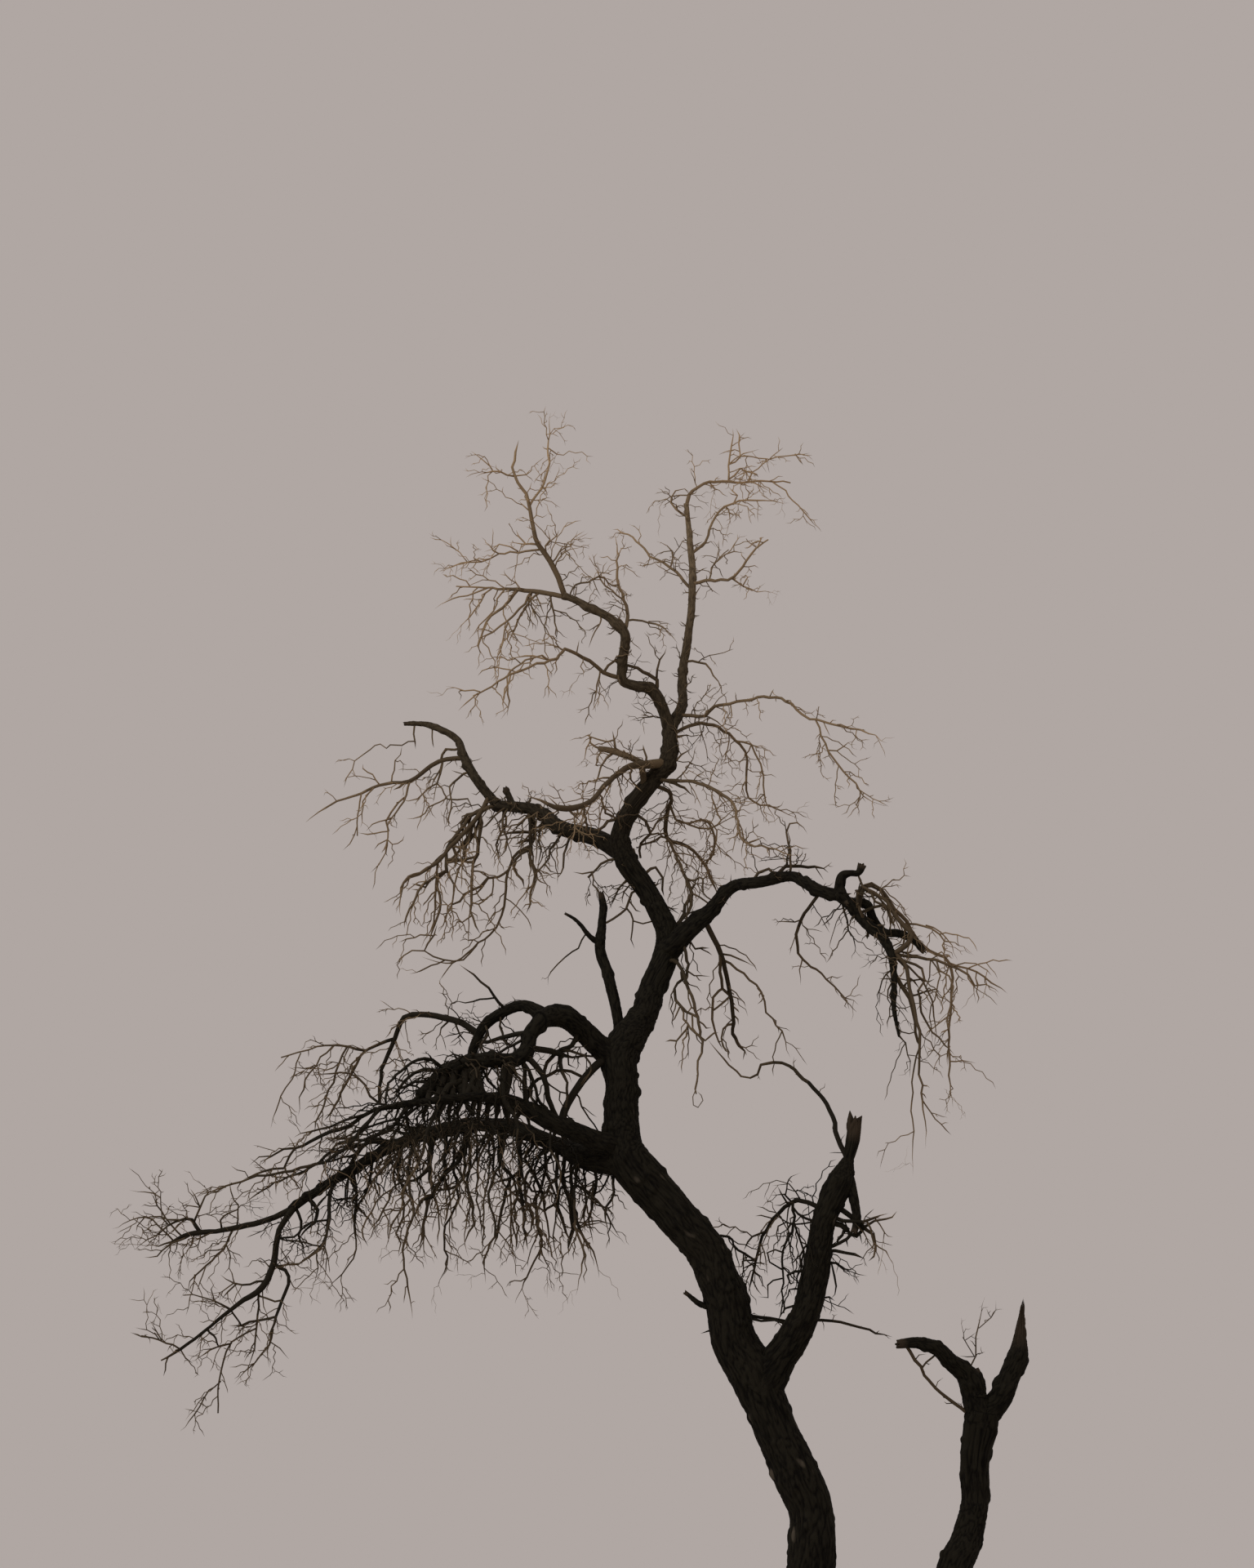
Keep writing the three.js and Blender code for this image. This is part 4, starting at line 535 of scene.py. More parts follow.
    "right_low_1_twigs": Mass(WEEPING, """
  right_bough| 250 480 700| 15 8| -520,4680 -435,4495 -410,4410 -385,4275 -365,4140 -370,4055 -335,3990
    -300,3940;
  0| 150| 7 4| -418,4450 -315,4375 -215,4275 -190,4175 -115,4070 -70,3925
    """, """
  0 > 0| | 9 8| -445,4490 -438,4420 -428,4350 -420,4300 -385,4262;
  2| 40| 8 8 7 6 5 4| -422,4300 -448,4285 -468,4245 -478,4190 -484,4135 -470,4100 -455,4050 -440,4010
    -425,3970;
  0 > 3| | 6 5| -392,4250 -422,4228 -450,4200 -478,4175;
  0| -30| 7 6 5 4| -372,4112 -402,4110 -420,4082 -427,4040 -424,3998 -410,3968 -385,3950;
  0| 60| 6 4| -432,4490 -385,4472 -330,4452 -250,4412;
  1| 20| 4 3| -240,4295 -212,4255 -222,4225 -242,4212;
  0| 10| 4 3| -380,4258 -350,4248 -325,4230;
  0| 10| 5 3| -368,4210 -350,4185 -337,4168;
  0| 10| 5 3| -365,4150 -350,4125 -342,4100
    """),
    "right_low_2_twigs": Mass(WEEPING, """
  trunk| -250 -450 -650| 12 4| -735,4440 -665,4440 -625,4355 -575,4220 -545,4070 -535,3985 -560,3870
    -567,3740;
  0 > 0| | 9 9 8 7 6| -645,4385 -638,4350 -675,4292 -666,4240 -650,4198 -585,4162 -566,4150
    """, """
  0| 30| 3 3| -562,3830 -566,3760 -585,3720 -578,3688 -550,3676 -536,3700 -545,3735 -562,3752;
  right_bough| -60| 6 3| -650,4560 -630,4600 -605,4750 -570,4900;
  right_bough > 0| | 9 8 7| -605,4530 -608,4450 -606,4400 -612,4365 -632,4335;
  4| 40| 5 3| -606,4392 -575,4370 -540,4362 -485,4362;
  5| 10| 4 3| -562,4367 -550,4350 -532,4340;
  right_bough| -60| 6 5| -590,4540 -560,4513 -520,4515 -488,4515;
  7| 20| 4 3| -540,4512 -500,4490 -475,4475;
  0 > 0| | 5 4| -622,4345 -608,4290 -602,4240 -590,4200 -572,4175;
  1| 20| 4 3| -666,4240 -678,4195 -692,4148;
  1| -20| 5 3| -652,4200 -662,4170 -680,4140 -692,4118;
  1 > 0| | 6 6 7 7 8| -645,4197 -632,4165 -636,4132 -608,4108 -590,4085 -568,4052 -545,4035;
  12| 40| 7 6 5 4| -606,4106 -618,4080 -648,4045 -672,4018 -700,4022 -728,4014;
  1 > 0| | 6 6| -586,4163 -586,4120 -578,4090 -548,4042;
  0| 30| 5 4| -555,4125 -530,4112 -507,4090 -482,4088;
  0| 30| 7 5| -543,4040 -520,4015 -498,4035 -475,4055 -448,4062
    """),
    "right_inner_twigs": Mass(ARCHING, """
  right_bough| 300 520 650| 10 4| 110,4826 0,4670 -30,4560 0,4455 100,4375 195,4275 295,4205
    """),
    "right_arching_twigs": Mass(WEEPING, """
  right_bough_tip| 150 320 380 400| 13 4| 300,4700 345,4850 420,4835 500,4730 580,4620 645,4520 775,4435
    790,4315 775,4165 765,3990 757,3830 770,3660;
  0| 80| 6 4| 775,4435 870,4400 1000,4335 1080,4270;
  0| -100| 6 4| 560,4650 660,4640 760,4560 850,4520
    """, """
  0| 30| 4 3| 762,3910 830,3915 900,3900;
  right_bough| 60| 6 3| 205,4805 240,4670 250,4610 275,4575 275,4475;
  right_bough_tip > right_bough_tip| | 10 9 8 9 11 14 14| 300,4700 330,4855 385,4820 455,4770 505,4685
    545,4635 585,4580 660,4490;
  5| 30| 6 5| 330,4860 380,4870 415,4850 435,4800 460,4755;
  right_bough_tip| -20| 9 7| 370,4750 430,4745 465,4720 475,4665 500,4600;
  5| -30| 7 6| 380,4840 395,4775 440,4745 470,4700
    """),
    "right_hanging_twigs": Mass(WEEPING, """
  right_bough_tip| -80 -160 -180| 16 5| 450,4520 535,4440 562,4300 590,4170 610,4020 600,3925 618,3700
    620,3450;
  0| 100| 8 4| 535,4440 640,4330 690,4150 680,3980;
  0| 60| 6 4| 605,3980 560,3800 560,3545 550,3310
    """, """
  right_bough_tip| 60| 17 16 14 12 10 10 6| 475,4420 520,4310 560,4245 580,4190 582,4115 600,4015 615,3975;
  right_bough_tip| 60| 7 6| 475,4515 530,4500 585,4480 640,4480;
  right_bough_tip| 80| 9 7| 490,4490 540,4415 560,4365 590,4340 620,4290;
  3| 40| 7 5| 530,4300 580,4340 660,4335 700,4350;
  3| -40| 7 5| 560,4260 650,4275 695,4290 730,4270;
  right_bough_tip| 80| 12 10 9 8 8 5 3| 650,4500 710,4450 765,4435 825,4400 870,4365 905,4320 960,4325
    1010,4300;
  8| 20| 5 3| 680,4470 720,4482 790,4485;
  8| -40| 5 3| 800,4420 865,4430 915,4430 970,4400 1000,4365;
  8| -60| 8 8 7 7 6 6 5 4| 700,4455 730,4395 770,4360 800,4300 785,4245 770,4175 760,4115 755,3980 745,3900;
  8| 60| 6 3| 690,4460 715,4415 710,4290 680,4200 670,4100 680,4000;
  right_bough_tip| -40| 10 9 8 8 7 6 4| 655,4490 630,4400 645,4345 615,4290 625,4170 650,4100 740,4000
    790,3940;
  8| 50| 5 3| 675,4475 675,4360 655,4300 700,4230;
  right_bough_tip| -40| 6 3| 478,4400 420,4335 405,4270 400,4200;
  right_bough_tip| 40| 6 4| 480,4340 455,4290 445,4235 480,4180;
  right_bough_tip > 3| | 5 5| 495,4080 550,4060 585,4060;
  right_bough_tip| 30| 6 3| 500,4045 540,4015 535,3945 560,3910 550,3820;
  right_bough| 60| 9 9 9 9 9 8 9 9 10| 222,4806 218,4870 255,4920 306,4918 328,4860 347,4820 405,4790
    450,4750 490,4712 545,4655 605,4590
    """),
    "right_knob_twigs": Mass(SPURRED, """
  right_bough| 60 120| 11 6| -130,4895 -80,4960 0,4962 80,4958 150,4925;
  0| 60| 6 4| -70,4960 -60,5070 -68,5190
    """),
    "trunk_right_upper_twigs": Mass(ARCHING, """
  trunk| -300 -650 -900| 11 10 9 9 8 7 6 5 4| -775,5450 -665,5442 -570,5435 -465,5395 -365,5325 -330,5210
    -305,5105 -175,5060 40,5010
    """, """
  0| -20| 5 3| -265,5095 -240,5112 -190,5125;
  right_bough| -60| 7 3| -65,4965 -47,5045 -56,5200 -7,5200 42,5140;
  right_bough > right_bough| | 8 8| -270,4880 -223,4924 -169,4947 -124,4930
    """),
    "trunk_right_lower_twigs": Mass(ARCHING, """
  trunk| 250 450 650| 12 11 12 12 10 9 9 8| -800,5420 -690,5360 -715,5250 -715,5120 -605,5070 -520,4985
    -470,4880 -445,4805;
  0| 80| 5 4| -505,4975 -455,5070 -470,5200 -585,5210;
  0| -80| 6 4| -712,5120 -670,5035 -620,4900 -590,4800
    """, """
  0 > trunk| | 9 8 8 9 10 10 9| -712,5120 -680,5054 -644,4970 -608,4887 -581,4812 -604,4710 -640,4600;
  trunk| 160| 8 8 9 7 6| -880,5254 -832,5212 -800,5138 -850,5091 -855,5007;
  4 > 0| | 6 6| -800,5138 -752,5142 -715,5138;
  4 > 0| | 6 6| -850,5080 -800,5100 -752,5124 -705,5119;
  4 > 0| | 6 6| -800,5145 -770,5203 -725,5249;
  0 > 0| | 7 6| -700,5323 -666,5221 -585,5198 -514,5216 -469,5170 -456,5100 -469,5035 -505,4980;
  8| -60| 6 4| -661,5212 -594,5189 -488,5170 -438,5184 -433,5258 -465,5342 -469,5384;
  trunk| 60| 10 9 7 4| -720,5425 -675,5421 -612,5398 -563,5351;
  trunk| 120| 9 6| -850,4890 -806,4950 -770,4952 -734,4896 -738,4840 -730,4794;
  trunk| 40| 8 6| -820,4850 -783,4849 -743,4873;
  trunk| 60| 6 3| -750,4775 -690,4729 -644,4696;
  trunk > 3| | 9 9| -660,4590 -644,4664 -617,4747 -581,4812;
  3 > right_bough| | 6 6| -585,4815 -530,4790 -495,4750;
  3 > right_bough| | 6 5| -612,4893 -563,4887 -527,4896 -523,4822 -480,4789;
  3| -20| 7 4| -590,4830 -565,4860 -565,4920;
  trunk| 40| 14 9| -940,5070 -895,5050 -868,4989
    """),
    "left_far_twigs": Mass(ARCHING, """
  left_bough_tip| 150 260 400| 16 4| -1800,5560 -1905,5560 -1985,5525 -2100,5435 -2190,5425 -2270,5410
    -2360,5365 -2450,5340 -2555,5290 -2660,5200;
  0| -80| 7 4| -2095,5440 -2145,5290 -2200,5225 -2220,5040;
  0| 60| 5 4| -2360,5365 -2380,5240 -2375,5130;
  0| 80| 6 4| -1930,5552 -1950,5465 -2010,5360
    """, """
  left_bough_tip| -80| 7 4| -1800,5480 -1845,5450 -1880,5400 -1875,5275 -1895,5215 -1860,5165;
  0| 60| 7 4| -1925,5555 -1935,5480 -1955,5425 -2000,5395 -2060,5340 -2150,5335;
  5| -60| 6 5| -1955,5425 -1925,5395 -1900,5340 -1845,5330 -1790,5335 -1757,5270;
  6| 40| 5 4| -1900,5330 -1995,5285 -2045,5230 -2115,5225;
  5| 30| 4 3| -2025,5355 -2000,5300 -1985,5235;
  0| 50| 5 3| -2290,5400 -2345,5325 -2355,5255 -2360,5175;
  1| 30| 6 3| -2225,5110 -2215,5040 -2260,4970 -2300,4925;
  left_bough_tip| 20| 6 4| -2090,5755 -2086,5705 -2075,5655 -2073,5615;
  left_bough_tip| -20| 5 3| -1992,5745 -1985,5690 -1980,5640 -1974,5622;
  11| 60 120| 4 3| -2077,5660 -2150,5643 -2203,5637 -2235,5627 -2260,5647 -2322,5617 -2360,5580 -2397,5553
    -2412,5505 -2442,5450 -2455,5400;
  0| 60| 5 3| -2198,5430 -2190,5500 -2180,5553 -2162,5590 -2147,5640;
  0| 40| 5 3| -2262,5415 -2308,5470 -2352,5512 -2356,5535;
  0 > left_bough_tip| | 8 7| -1935,5555 -1928,5585 -1905,5612 -1880,5600;
  0| 20| 8 5| -2120,5430 -2155,5405 -2192,5385;
  1 > 1| | 9 8 6| -2112,5345 -2160,5310 -2195,5262 -2218,5205 -2222,5150;
  1| 30| 5 4| -2225,5150 -2275,5143 -2325,5140 -2372,5148;
  1| -30| 4 3| -2212,5222 -2258,5208 -2300,5190 -2330,5155;
  2| 20| 4 3| -2378,5190 -2390,5140 -2420,5095 -2450,5050;
  1| 20| 5 3| -2222,5112 -2260,5090 -2285,5050;
  10| 20| 4 3| -2258,4975 -2272,4920 -2270,4870 -2286,4830;
  1| 30| 4 3| -2218,5115 -2185,5082 -2155,5085 -2128,5110 -2122,5135
    """),
    "left_hanging_outer_twigs": Mass(WEEPING, """
  left_bough_tip| -150 -350 -500| 15 5| -1670,5345 -1735,5230 -1800,5150 -1890,5050 -1940,4985 -2030,4930
    -2120,4880 -2130,4680;
  0| -80| 7 4| -1750,5210 -1730,5080 -1752,4960 -1755,4830;
  0| 100| 7 4| -1940,4985 -1945,4820 -1960,4650 -2020,4510
    """, """
  left_bough| -80 -120| 14 13 12 10 10 8 8 7 6 5 3| -1670,5300 -1720,5260 -1710,5200 -1720,5120 -1730,5030
    -1755,4970 -1755,4830 -1760,4755 -1750,4685 -1725,4630 -1705,4590;
  3| 60| 9 9 10 10 11 11 11| -1720,5260 -1790,5250 -1820,5200 -1810,5150 -1870,5090 -1893,5040 -1890,4925;
  4| 20| 13 16 15| -1893,5040 -1925,5010 -1950,4990;
  5| 60| 8 3| -1940,4990 -1990,4945 -2085,4900 -2120,4865 -2130,4800 -2160,4700;
  4| -60| 10 9 8 7 4| -1890,4935 -1945,4910 -1980,4885 -2045,4825 -2050,4790 -2100,4690 -2110,4620;
  4| 60| 8 7 7 5| -1890,4940 -1935,4895 -1930,4800 -1925,4725 -1950,4625 -2000,4525;
  4| 40| 7 3| -1890,4945 -1850,4860 -1855,4770 -1890,4690 -1930,4600;
  4 > 3| | 8 8| -1870,4985 -1810,4990 -1750,4985;
  10| 30| 6 4| -1800,4980 -1840,4915 -1850,4870 -1855,4790;
  4 > 4| | 8 8| -1760,5250 -1775,5200 -1775,5140 -1825,5050 -1870,4990;
  3| 50| 8 6| -1725,5240 -1755,5200 -1760,5135 -1800,5080 -1790,5000;
  left_bough| -60| 13 12 11 11 13 12| -1690,5300 -1770,5245 -1805,5190 -1850,5130 -1885,5065 -1920,5000;
  3| -40| 10 9 7| -1725,5245 -1760,5180 -1775,5120 -1790,5060 -1803,4985;
  3| 40| 9 7| -1722,5225 -1742,5150 -1772,5100 -1805,5088 -1835,5058;
  14 > 3| | 8 8| -1805,5190 -1765,5140 -1722,5105;
  14| 20| 6 3| -1815,5150 -1845,5155 -1885,5162;
  14 > 15| | 7 6| -1870,5055 -1805,5060 -1790,5035;
  4 > 3| | 8 7| -1885,4995 -1835,5002 -1800,5000 -1740,5015;
  14| 30| 8 6| -1845,5130 -1855,5060 -1838,5000 -1850,4945;
  3| 30| 5 3| -1760,4695 -1800,4660 -1830,4665 -1856,4655;
  3| -40| 5 4| -1755,4760 -1715,4760 -1695,4775 -1665,4790 -1630,4812;
  3| 20| 5 4| -1740,4960 -1708,4970 -1700,4948;
  3| 40| 5 4| -1755,4930 -1725,4935 -1700,4930 -1672,4902;
  7| 20| 7 5| -1980,4885 -2000,4848 -2040,4856 -2078,4866;
  7| 10| 5 3| -2045,4838 -2080,4835;
  8| 30| 5 3| -1930,4830 -1965,4815 -1990,4780 -2020,4738
    """),
    "left_hanging_inner_twigs": Mass(WEEPING, """
  left_bough| 200 380 520| 12 4| -1430,5275 -1425,5130 -1450,5075 -1510,5040 -1550,4970 -1580,4790 -1605,4655
    -1740,4515 -1845,4440 -2020,4470;
  0| -100| 6 4| -1440,5095 -1425,4980 -1412,4900 -1450,4700;
  0| -80| 10 8| -1430,5150 -1520,5150 -1640,5115
    """, """
  left_bough| -60| 12 11 9 8 7 6 4| -1450,5260 -1445,5110 -1440,4970 -1420,4910 -1445,4825 -1445,4755
    -1465,4700;
  3| 30| 6 4| -1440,4990 -1400,4925 -1385,4900;
  3| -30| 5 3| -1420,4905 -1385,4885 -1345,4860;
  3| -20| 10 9| -1445,5120 -1490,5095 -1530,5080;
  3| 50| 9 6| -1445,5060 -1490,5030 -1540,4960 -1480,4880 -1475,4840;
  0| -80| 8 8 7 7 8 7 5 4 3| -1575,4940 -1615,4900 -1670,4895 -1715,4855 -1795,4810 -1820,4770 -1860,4755
    -1880,4710 -1930,4600;
  8| -20| 6 5| -1670,4895 -1700,4845 -1735,4815 -1790,4790;
  8| 30| 5 3| -1660,4900 -1690,4925 -1730,4940;
  8| 40| 5 3| -1645,4895 -1640,4815 -1710,4770 -1755,4755;
  left_bough| -40| 8 5| -1270,5150 -1305,5090 -1340,5050 -1350,5000 -1400,4940;
  12| 20| 5 3| -1360,4965 -1330,4935 -1300,4925;
  left_bough| -200| 8 4| -1215,5160 -1260,5060 -1270,4960 -1300,4860;
  left_bough| 160| 8 4| -1340,5220 -1400,5150 -1390,5050 -1410,4940;
  left_bough| 180| 8 4| -1600,5300 -1580,5190 -1630,5080 -1600,4960;
  left_bough| -180| 8 4| -1560,5290 -1600,5200 -1570,5080 -1650,4960;
  0| -60| 8 7 6 6 7 6 5| -1730,4525 -1790,4455 -1840,4442 -1900,4450 -1955,4462 -2000,4500 -1985,4535
    -1955,4590 -1935,4650;
  18| -30| 6 4| -1890,4450 -1960,4420 -2015,4395 -2080,4375;
  18| 40| 6 3| -2000,4500 -2060,4495 -2110,4470 -2160,4430;
  18| -20| 5 3| -1960,4582 -2020,4585 -2090,4570 -2140,4545
    """),
    "crown_left_twigs": Mass(ARCHING, """
  trunk| -250 -560 -800| 28 24 18 15 13 13 16 16 11| -705,5540 -815,5530 -910,5520 -985,5470 -1050,5410
    -1115,5330 -1195,5290 -1285,5285 -1480,5360;
  0| 100| 17 17 18 14| -830,5530 -910,5570 -1000,5605 -1080,5620;
  0| -80| 6 4| -1195,5290 -1210,5180 -1230,5060
    """, """
  1| 20| 7 3| -1070,5620 -1106,5625 -1124,5689 -1115,5718;
  1| -20| 8 4| -985,5605 -1003,5667 -1007,5723;
  4| 20| 5 3| -1003,5665 -1043,5660 -1088,5672 -1124,5689 -1155,5697;
  3| 20| 5 3| -1120,5680 -1142,5649 -1151,5612 -1178,5533;
  1| 60| 7 3| -976,5595 -1043,5570 -1065,5509 -1101,5435 -1146,5433;
  1| 20| 5 3| -1060,5610 -1103,5528 -1080,5517;
  0| -20| 7 3| -823,5545 -832,5612 -841,5644;
  0 > trunk| | 6 6| -904,5510 -902,5449 -880,5400;
  0 > trunk| | 19 19| -855,5530 -841,5472 -846,5400;
  0| 20| 7 4| -950,5490 -958,5472 -956,5402;
  0| 30| 6 3| -1006,5450 -1040,5379 -1064,5314;
  0 > trunk| | 6 6| -1080,5370 -1055,5314 -1040,5258 -990,5217;
  0| -40| 6 4| -1000,5455 -1065,5458 -1146,5433;
  trunk| -60| 10 9 8 6| -950,5230 -1030,5212 -1079,5165 -1128,5165;
  0 > left_bough| | 7 7| -1155,5305 -1151,5230 -1130,5150;
  0| 40| 8 4| -1255,5288 -1218,5244 -1173,5207;
  18| 20| 6 5| -1225,5254 -1160,5250;
  trunk| 60| 9 8 7 6| -970,5010 -1030,4998 -1092,4951 -1137,4900;
  20| 20| 5 3| -1110,4930 -1173,4914 -1218,4931;
  20 > dead_stub| | 5 5| -1115,4925 -1106,4859 -1083,4821;
  trunk| 80| 7 3| -920,4910 -967,4849 -1003,4784 -1025,4724;
  trunk| -60| 6 3| -900,4880 -940,4821 -949,4752;
  trunk > dead_stub| | 7 6| -870,4830 -904,4817 -931,4733 -1003,4673 -1050,4636;
  25| 40| 6 3| -931,4733 -900,4664 -909,4571 -886,4510;
  26 > trunk| | 5 5| -903,4660 -850,4645 -790,4643;
  25| -20| 5 3| -915,4775 -886,4720 -850,4710;
  trunk| -40| 9 7 6 4| -690,5540 -666,5556 -630,5588 -567,5630;
  trunk| 30| 9 7| -690,5690 -650,5692 -580,5690
    """),
    "crown_right_upper_twigs": Mass(ARCHING, """
  right_top_stem| -250 -560 -850| 11 4| -650,5805 -505,5808 -450,5860 -365,5875 -180,5910 -60,5890 60,5790
    215,5755 350,5720 485,5650;
  0| -60| 6 4| 100,5780 165,5610 250,5490 330,5385 410,5300
    """),
    "crown_right_lower_twigs": Mass(ARCHING, """
  trunk| 200 480 700| 11 4| -690,5700 -560,5760 -460,5752 -375,5700 -290,5600 -280,5470 -270,5345 -165,5295
    5,5220;
  0| 120| 6 4| -340,5660 -255,5640 -210,5540 -185,5365 -130,5185
    """),
    "top_left_leader_twigs": Mass(ARCHING, """
  left_top_stem| -80 -150 -220| 17 11 5| -1283,6505 -1328,6655 -1380,6745 -1420,6800 -1445,6885 -1470,7000
    -1487,7100 -1560,7210 -1550,7360 -1535,7430;
  0| 120| 7 4| -1472,7020 -1395,7160 -1370,7250 -1370,7380 -1355,7600;
  0| 120| 6 4| -1400,6775 -1530,6760 -1640,6745 -1700,6800;
  2| 80| 5 4| -1640,6745 -1730,6700 -1845,6690 -1970,6640;
  0| -80| 5 4| -1560,7210 -1675,7235 -1780,7200
    """, """
  0| 40| 6 3| -1430,6800 -1490,6810 -1530,6850 -1545,6890;
  0| -60| 5 3| -1375,6740 -1380,6790 -1360,6835 -1370,6900;
  6| 40| 4 3| -1380,6790 -1325,6850 -1305,6890;
  0| 80| 5 3| -1345,6690 -1295,6755 -1245,6795 -1210,6830
    """),
    "top_left_side_twigs": Mass(WEEPING, """
  left_top_stem| 120 260| 14 14 12 6 4| -1265,6495 -1405,6520 -1530,6535 -1670,6545 -1870,6555;
  0| 60| 6 4| -1405,6520 -1490,6430 -1540,6300 -1600,6180
    """, """
  0| 60| 9 9 7 6 5 4| -1530,6530 -1575,6470 -1615,6435 -1695,6350 -1725,6275 -1740,6215 -1730,6155;
  0| -60| 8 4| -1455,6520 -1490,6460 -1580,6345 -1700,6270 -1750,6250;
  3| 40| 5 3| -1580,6345 -1610,6260 -1620,6190 -1650,6110;
  3| 30| 4 3| -1580,6345 -1545,6280 -1515,6225;
  0| 50| 5 3| -1450,6515 -1450,6435 -1430,6395 -1425,6300;
  0| -50| 4 3| -1440,6515 -1400,6445 -1380,6380;
  0| 60| 6 3| -1360,6510 -1335,6420 -1325,6345 -1310,6300 -1315,6235;
  0| 60| 5 3| -1705,6545 -1755,6520 -1810,6500 -1890,6485 -1990,6420;
  0| 90| 5 3| -1600,6540 -1640,6490 -1660,6410 -1740,6330 -1800,6240;
  0| -70| 5 3| -1670,6545 -1740,6470 -1790,6380 -1850,6310
    """),
    "top_middle_twigs": Mass(SPURRED, """
  left_top_stem| 250 420| 11 4| -938,6260 -928,6410 -963,6540 -985,6635 -978,6735 -993,6865;
  0| 60| 5 4| -945,6480 -1070,6595 -1120,6700;
  0| -100| 6 4| -932,6360 -810,6350 -735,6310 -645,6215
    """, """
  left_top_stem > left_top_stem| | 12 11 9 7| -775,5930 -760,6010 -813,6040 -873,6075 -952,6110;
  3| -60| 7 4| -765,6010 -745,6120 -710,6200;
  left_top_stem > 0| | 5 5| -1230,6480 -1225,6550 -1180,6575 -1115,6595 -1050,6605 -1035,6575 -975,6560
    """),
    "top_left_low_twigs": Mass(WEEPING, """
  left_top_stem| -200 -450 -650| 13 4| -952,6020 -1055,6055 -1130,6120 -1205,6160 -1267,6185 -1315,6130
    -1420,6105 -1530,6055 -1670,5980 -1765,5920;
  0| 100| 5 4| -1335,6122 -1483,6150 -1600,6120;
  0| -60| 5 4| -1560,6040 -1600,5915 -1595,5810;
  0| 60| 5 4| -1070,6070 -1100,5945 -1110,5835
    """, """
  0 > 0| | 6 6| -1350,6130 -1400,6150 -1480,6125 -1540,6090 -1590,6035;
  0| -30| 5 3| -1270,6180 -1340,6210 -1385,6210;
  0| 20| 4 3| -1100,6090 -1170,6050;
  0 > left_top_stem| | 8 7| -1050,6050 -1035,6100 -955,6140;
  0| 40| 5 3| -1730,5945 -1810,5950 -1920,5975;
  0| -40| 4 3| -1740,5940 -1800,5880 -1850,5830;
  0| 40| 7 4| -1590,6040 -1585,5965 -1575,5890 -1580,5800;
  left_top_stem| 30| 5 3| -1090,6390 -1080,6325 -1100,6295 -1125,6250 -1140,6190
    """),
    "top_right_tip_twigs": Mass(ARCHING, """
  right_top_stem| 120 260 400| 12 4| -597,7045 -580,7095 -533,7145 -470,7175 -360,7177 -250,7175 -140,7185
    -15,7170;
  0| -80| 6 4| -360,7177 -360,7280 -345,7395 -333,7500;
  0| 120| 5 4| -250,7175 -230,7235 -123,7305 15,7345 100,7350
    """, """
  right_top_stem| 60 0| 7 4| -594,6950 -680,7045 -650,7130 -575,7110;
  right_top_stem| -100| 7 4| -610,6130 -497,6100 -452,6045 -400,5930;
  right_top_stem| 120 200| 9 4| -573,6760 -497,6815 -440,6965 -380,7030 -207,7065 -20,7050;
  1| 30| 5 4| -356,7283 -325,7295 -290,7330 -295,7400 -292,7460 -315,7500;
  6| 40| 4 3| -290,7330 -255,7332 -190,7322 -140,7308 -90,7302;
  1| 40| 8 7 5| -357,7192 -330,7222 -295,7250 -262,7232 -215,7218 -190,7202;
  0| 80| 5 3| -130,7182 -95,7152 -45,7115 2,7062 55,7000 95,6950 125,6905;
  5| 20| 5 3| -335,7045 -315,7090 -345,7125 -360,7145
    """),
    "top_right_side_twigs": Mass(SPURRED, """
  right_top_stem| -250 -500| 11 4| -566,6560 -495,6592 -410,6590 -333,6610 -270,6710 -210,6785 -145,6830;
  0| 80| 5 4| -350,6605 -290,6555 -85,6500;
  0| 100| 5 4| -470,6592 -440,6690 -365,6770
    """, """
  2| 20| 5 3| -430,6705 -385,6742 -330,6768 -272,6750;
  3| 20| 4 3| -370,6752 -335,6800 -300,6865;
  1| 20| 4 3| -288,6562 -262,6600 -238,6616;
  0| 20| 4 3| -205,6790 -182,6835 -165,6845
    """),
    "top_right_inner_twigs": Mass(SPURRED, """
  right_top_stem| 200 420| 9 4| -568,6530 -660,6635 -735,6700 -797,6735 -875,6820 -950,6875 -1010,6890;
  0| 100| 5 4| -690,6660 -675,6765 -768,6820
    """),
}


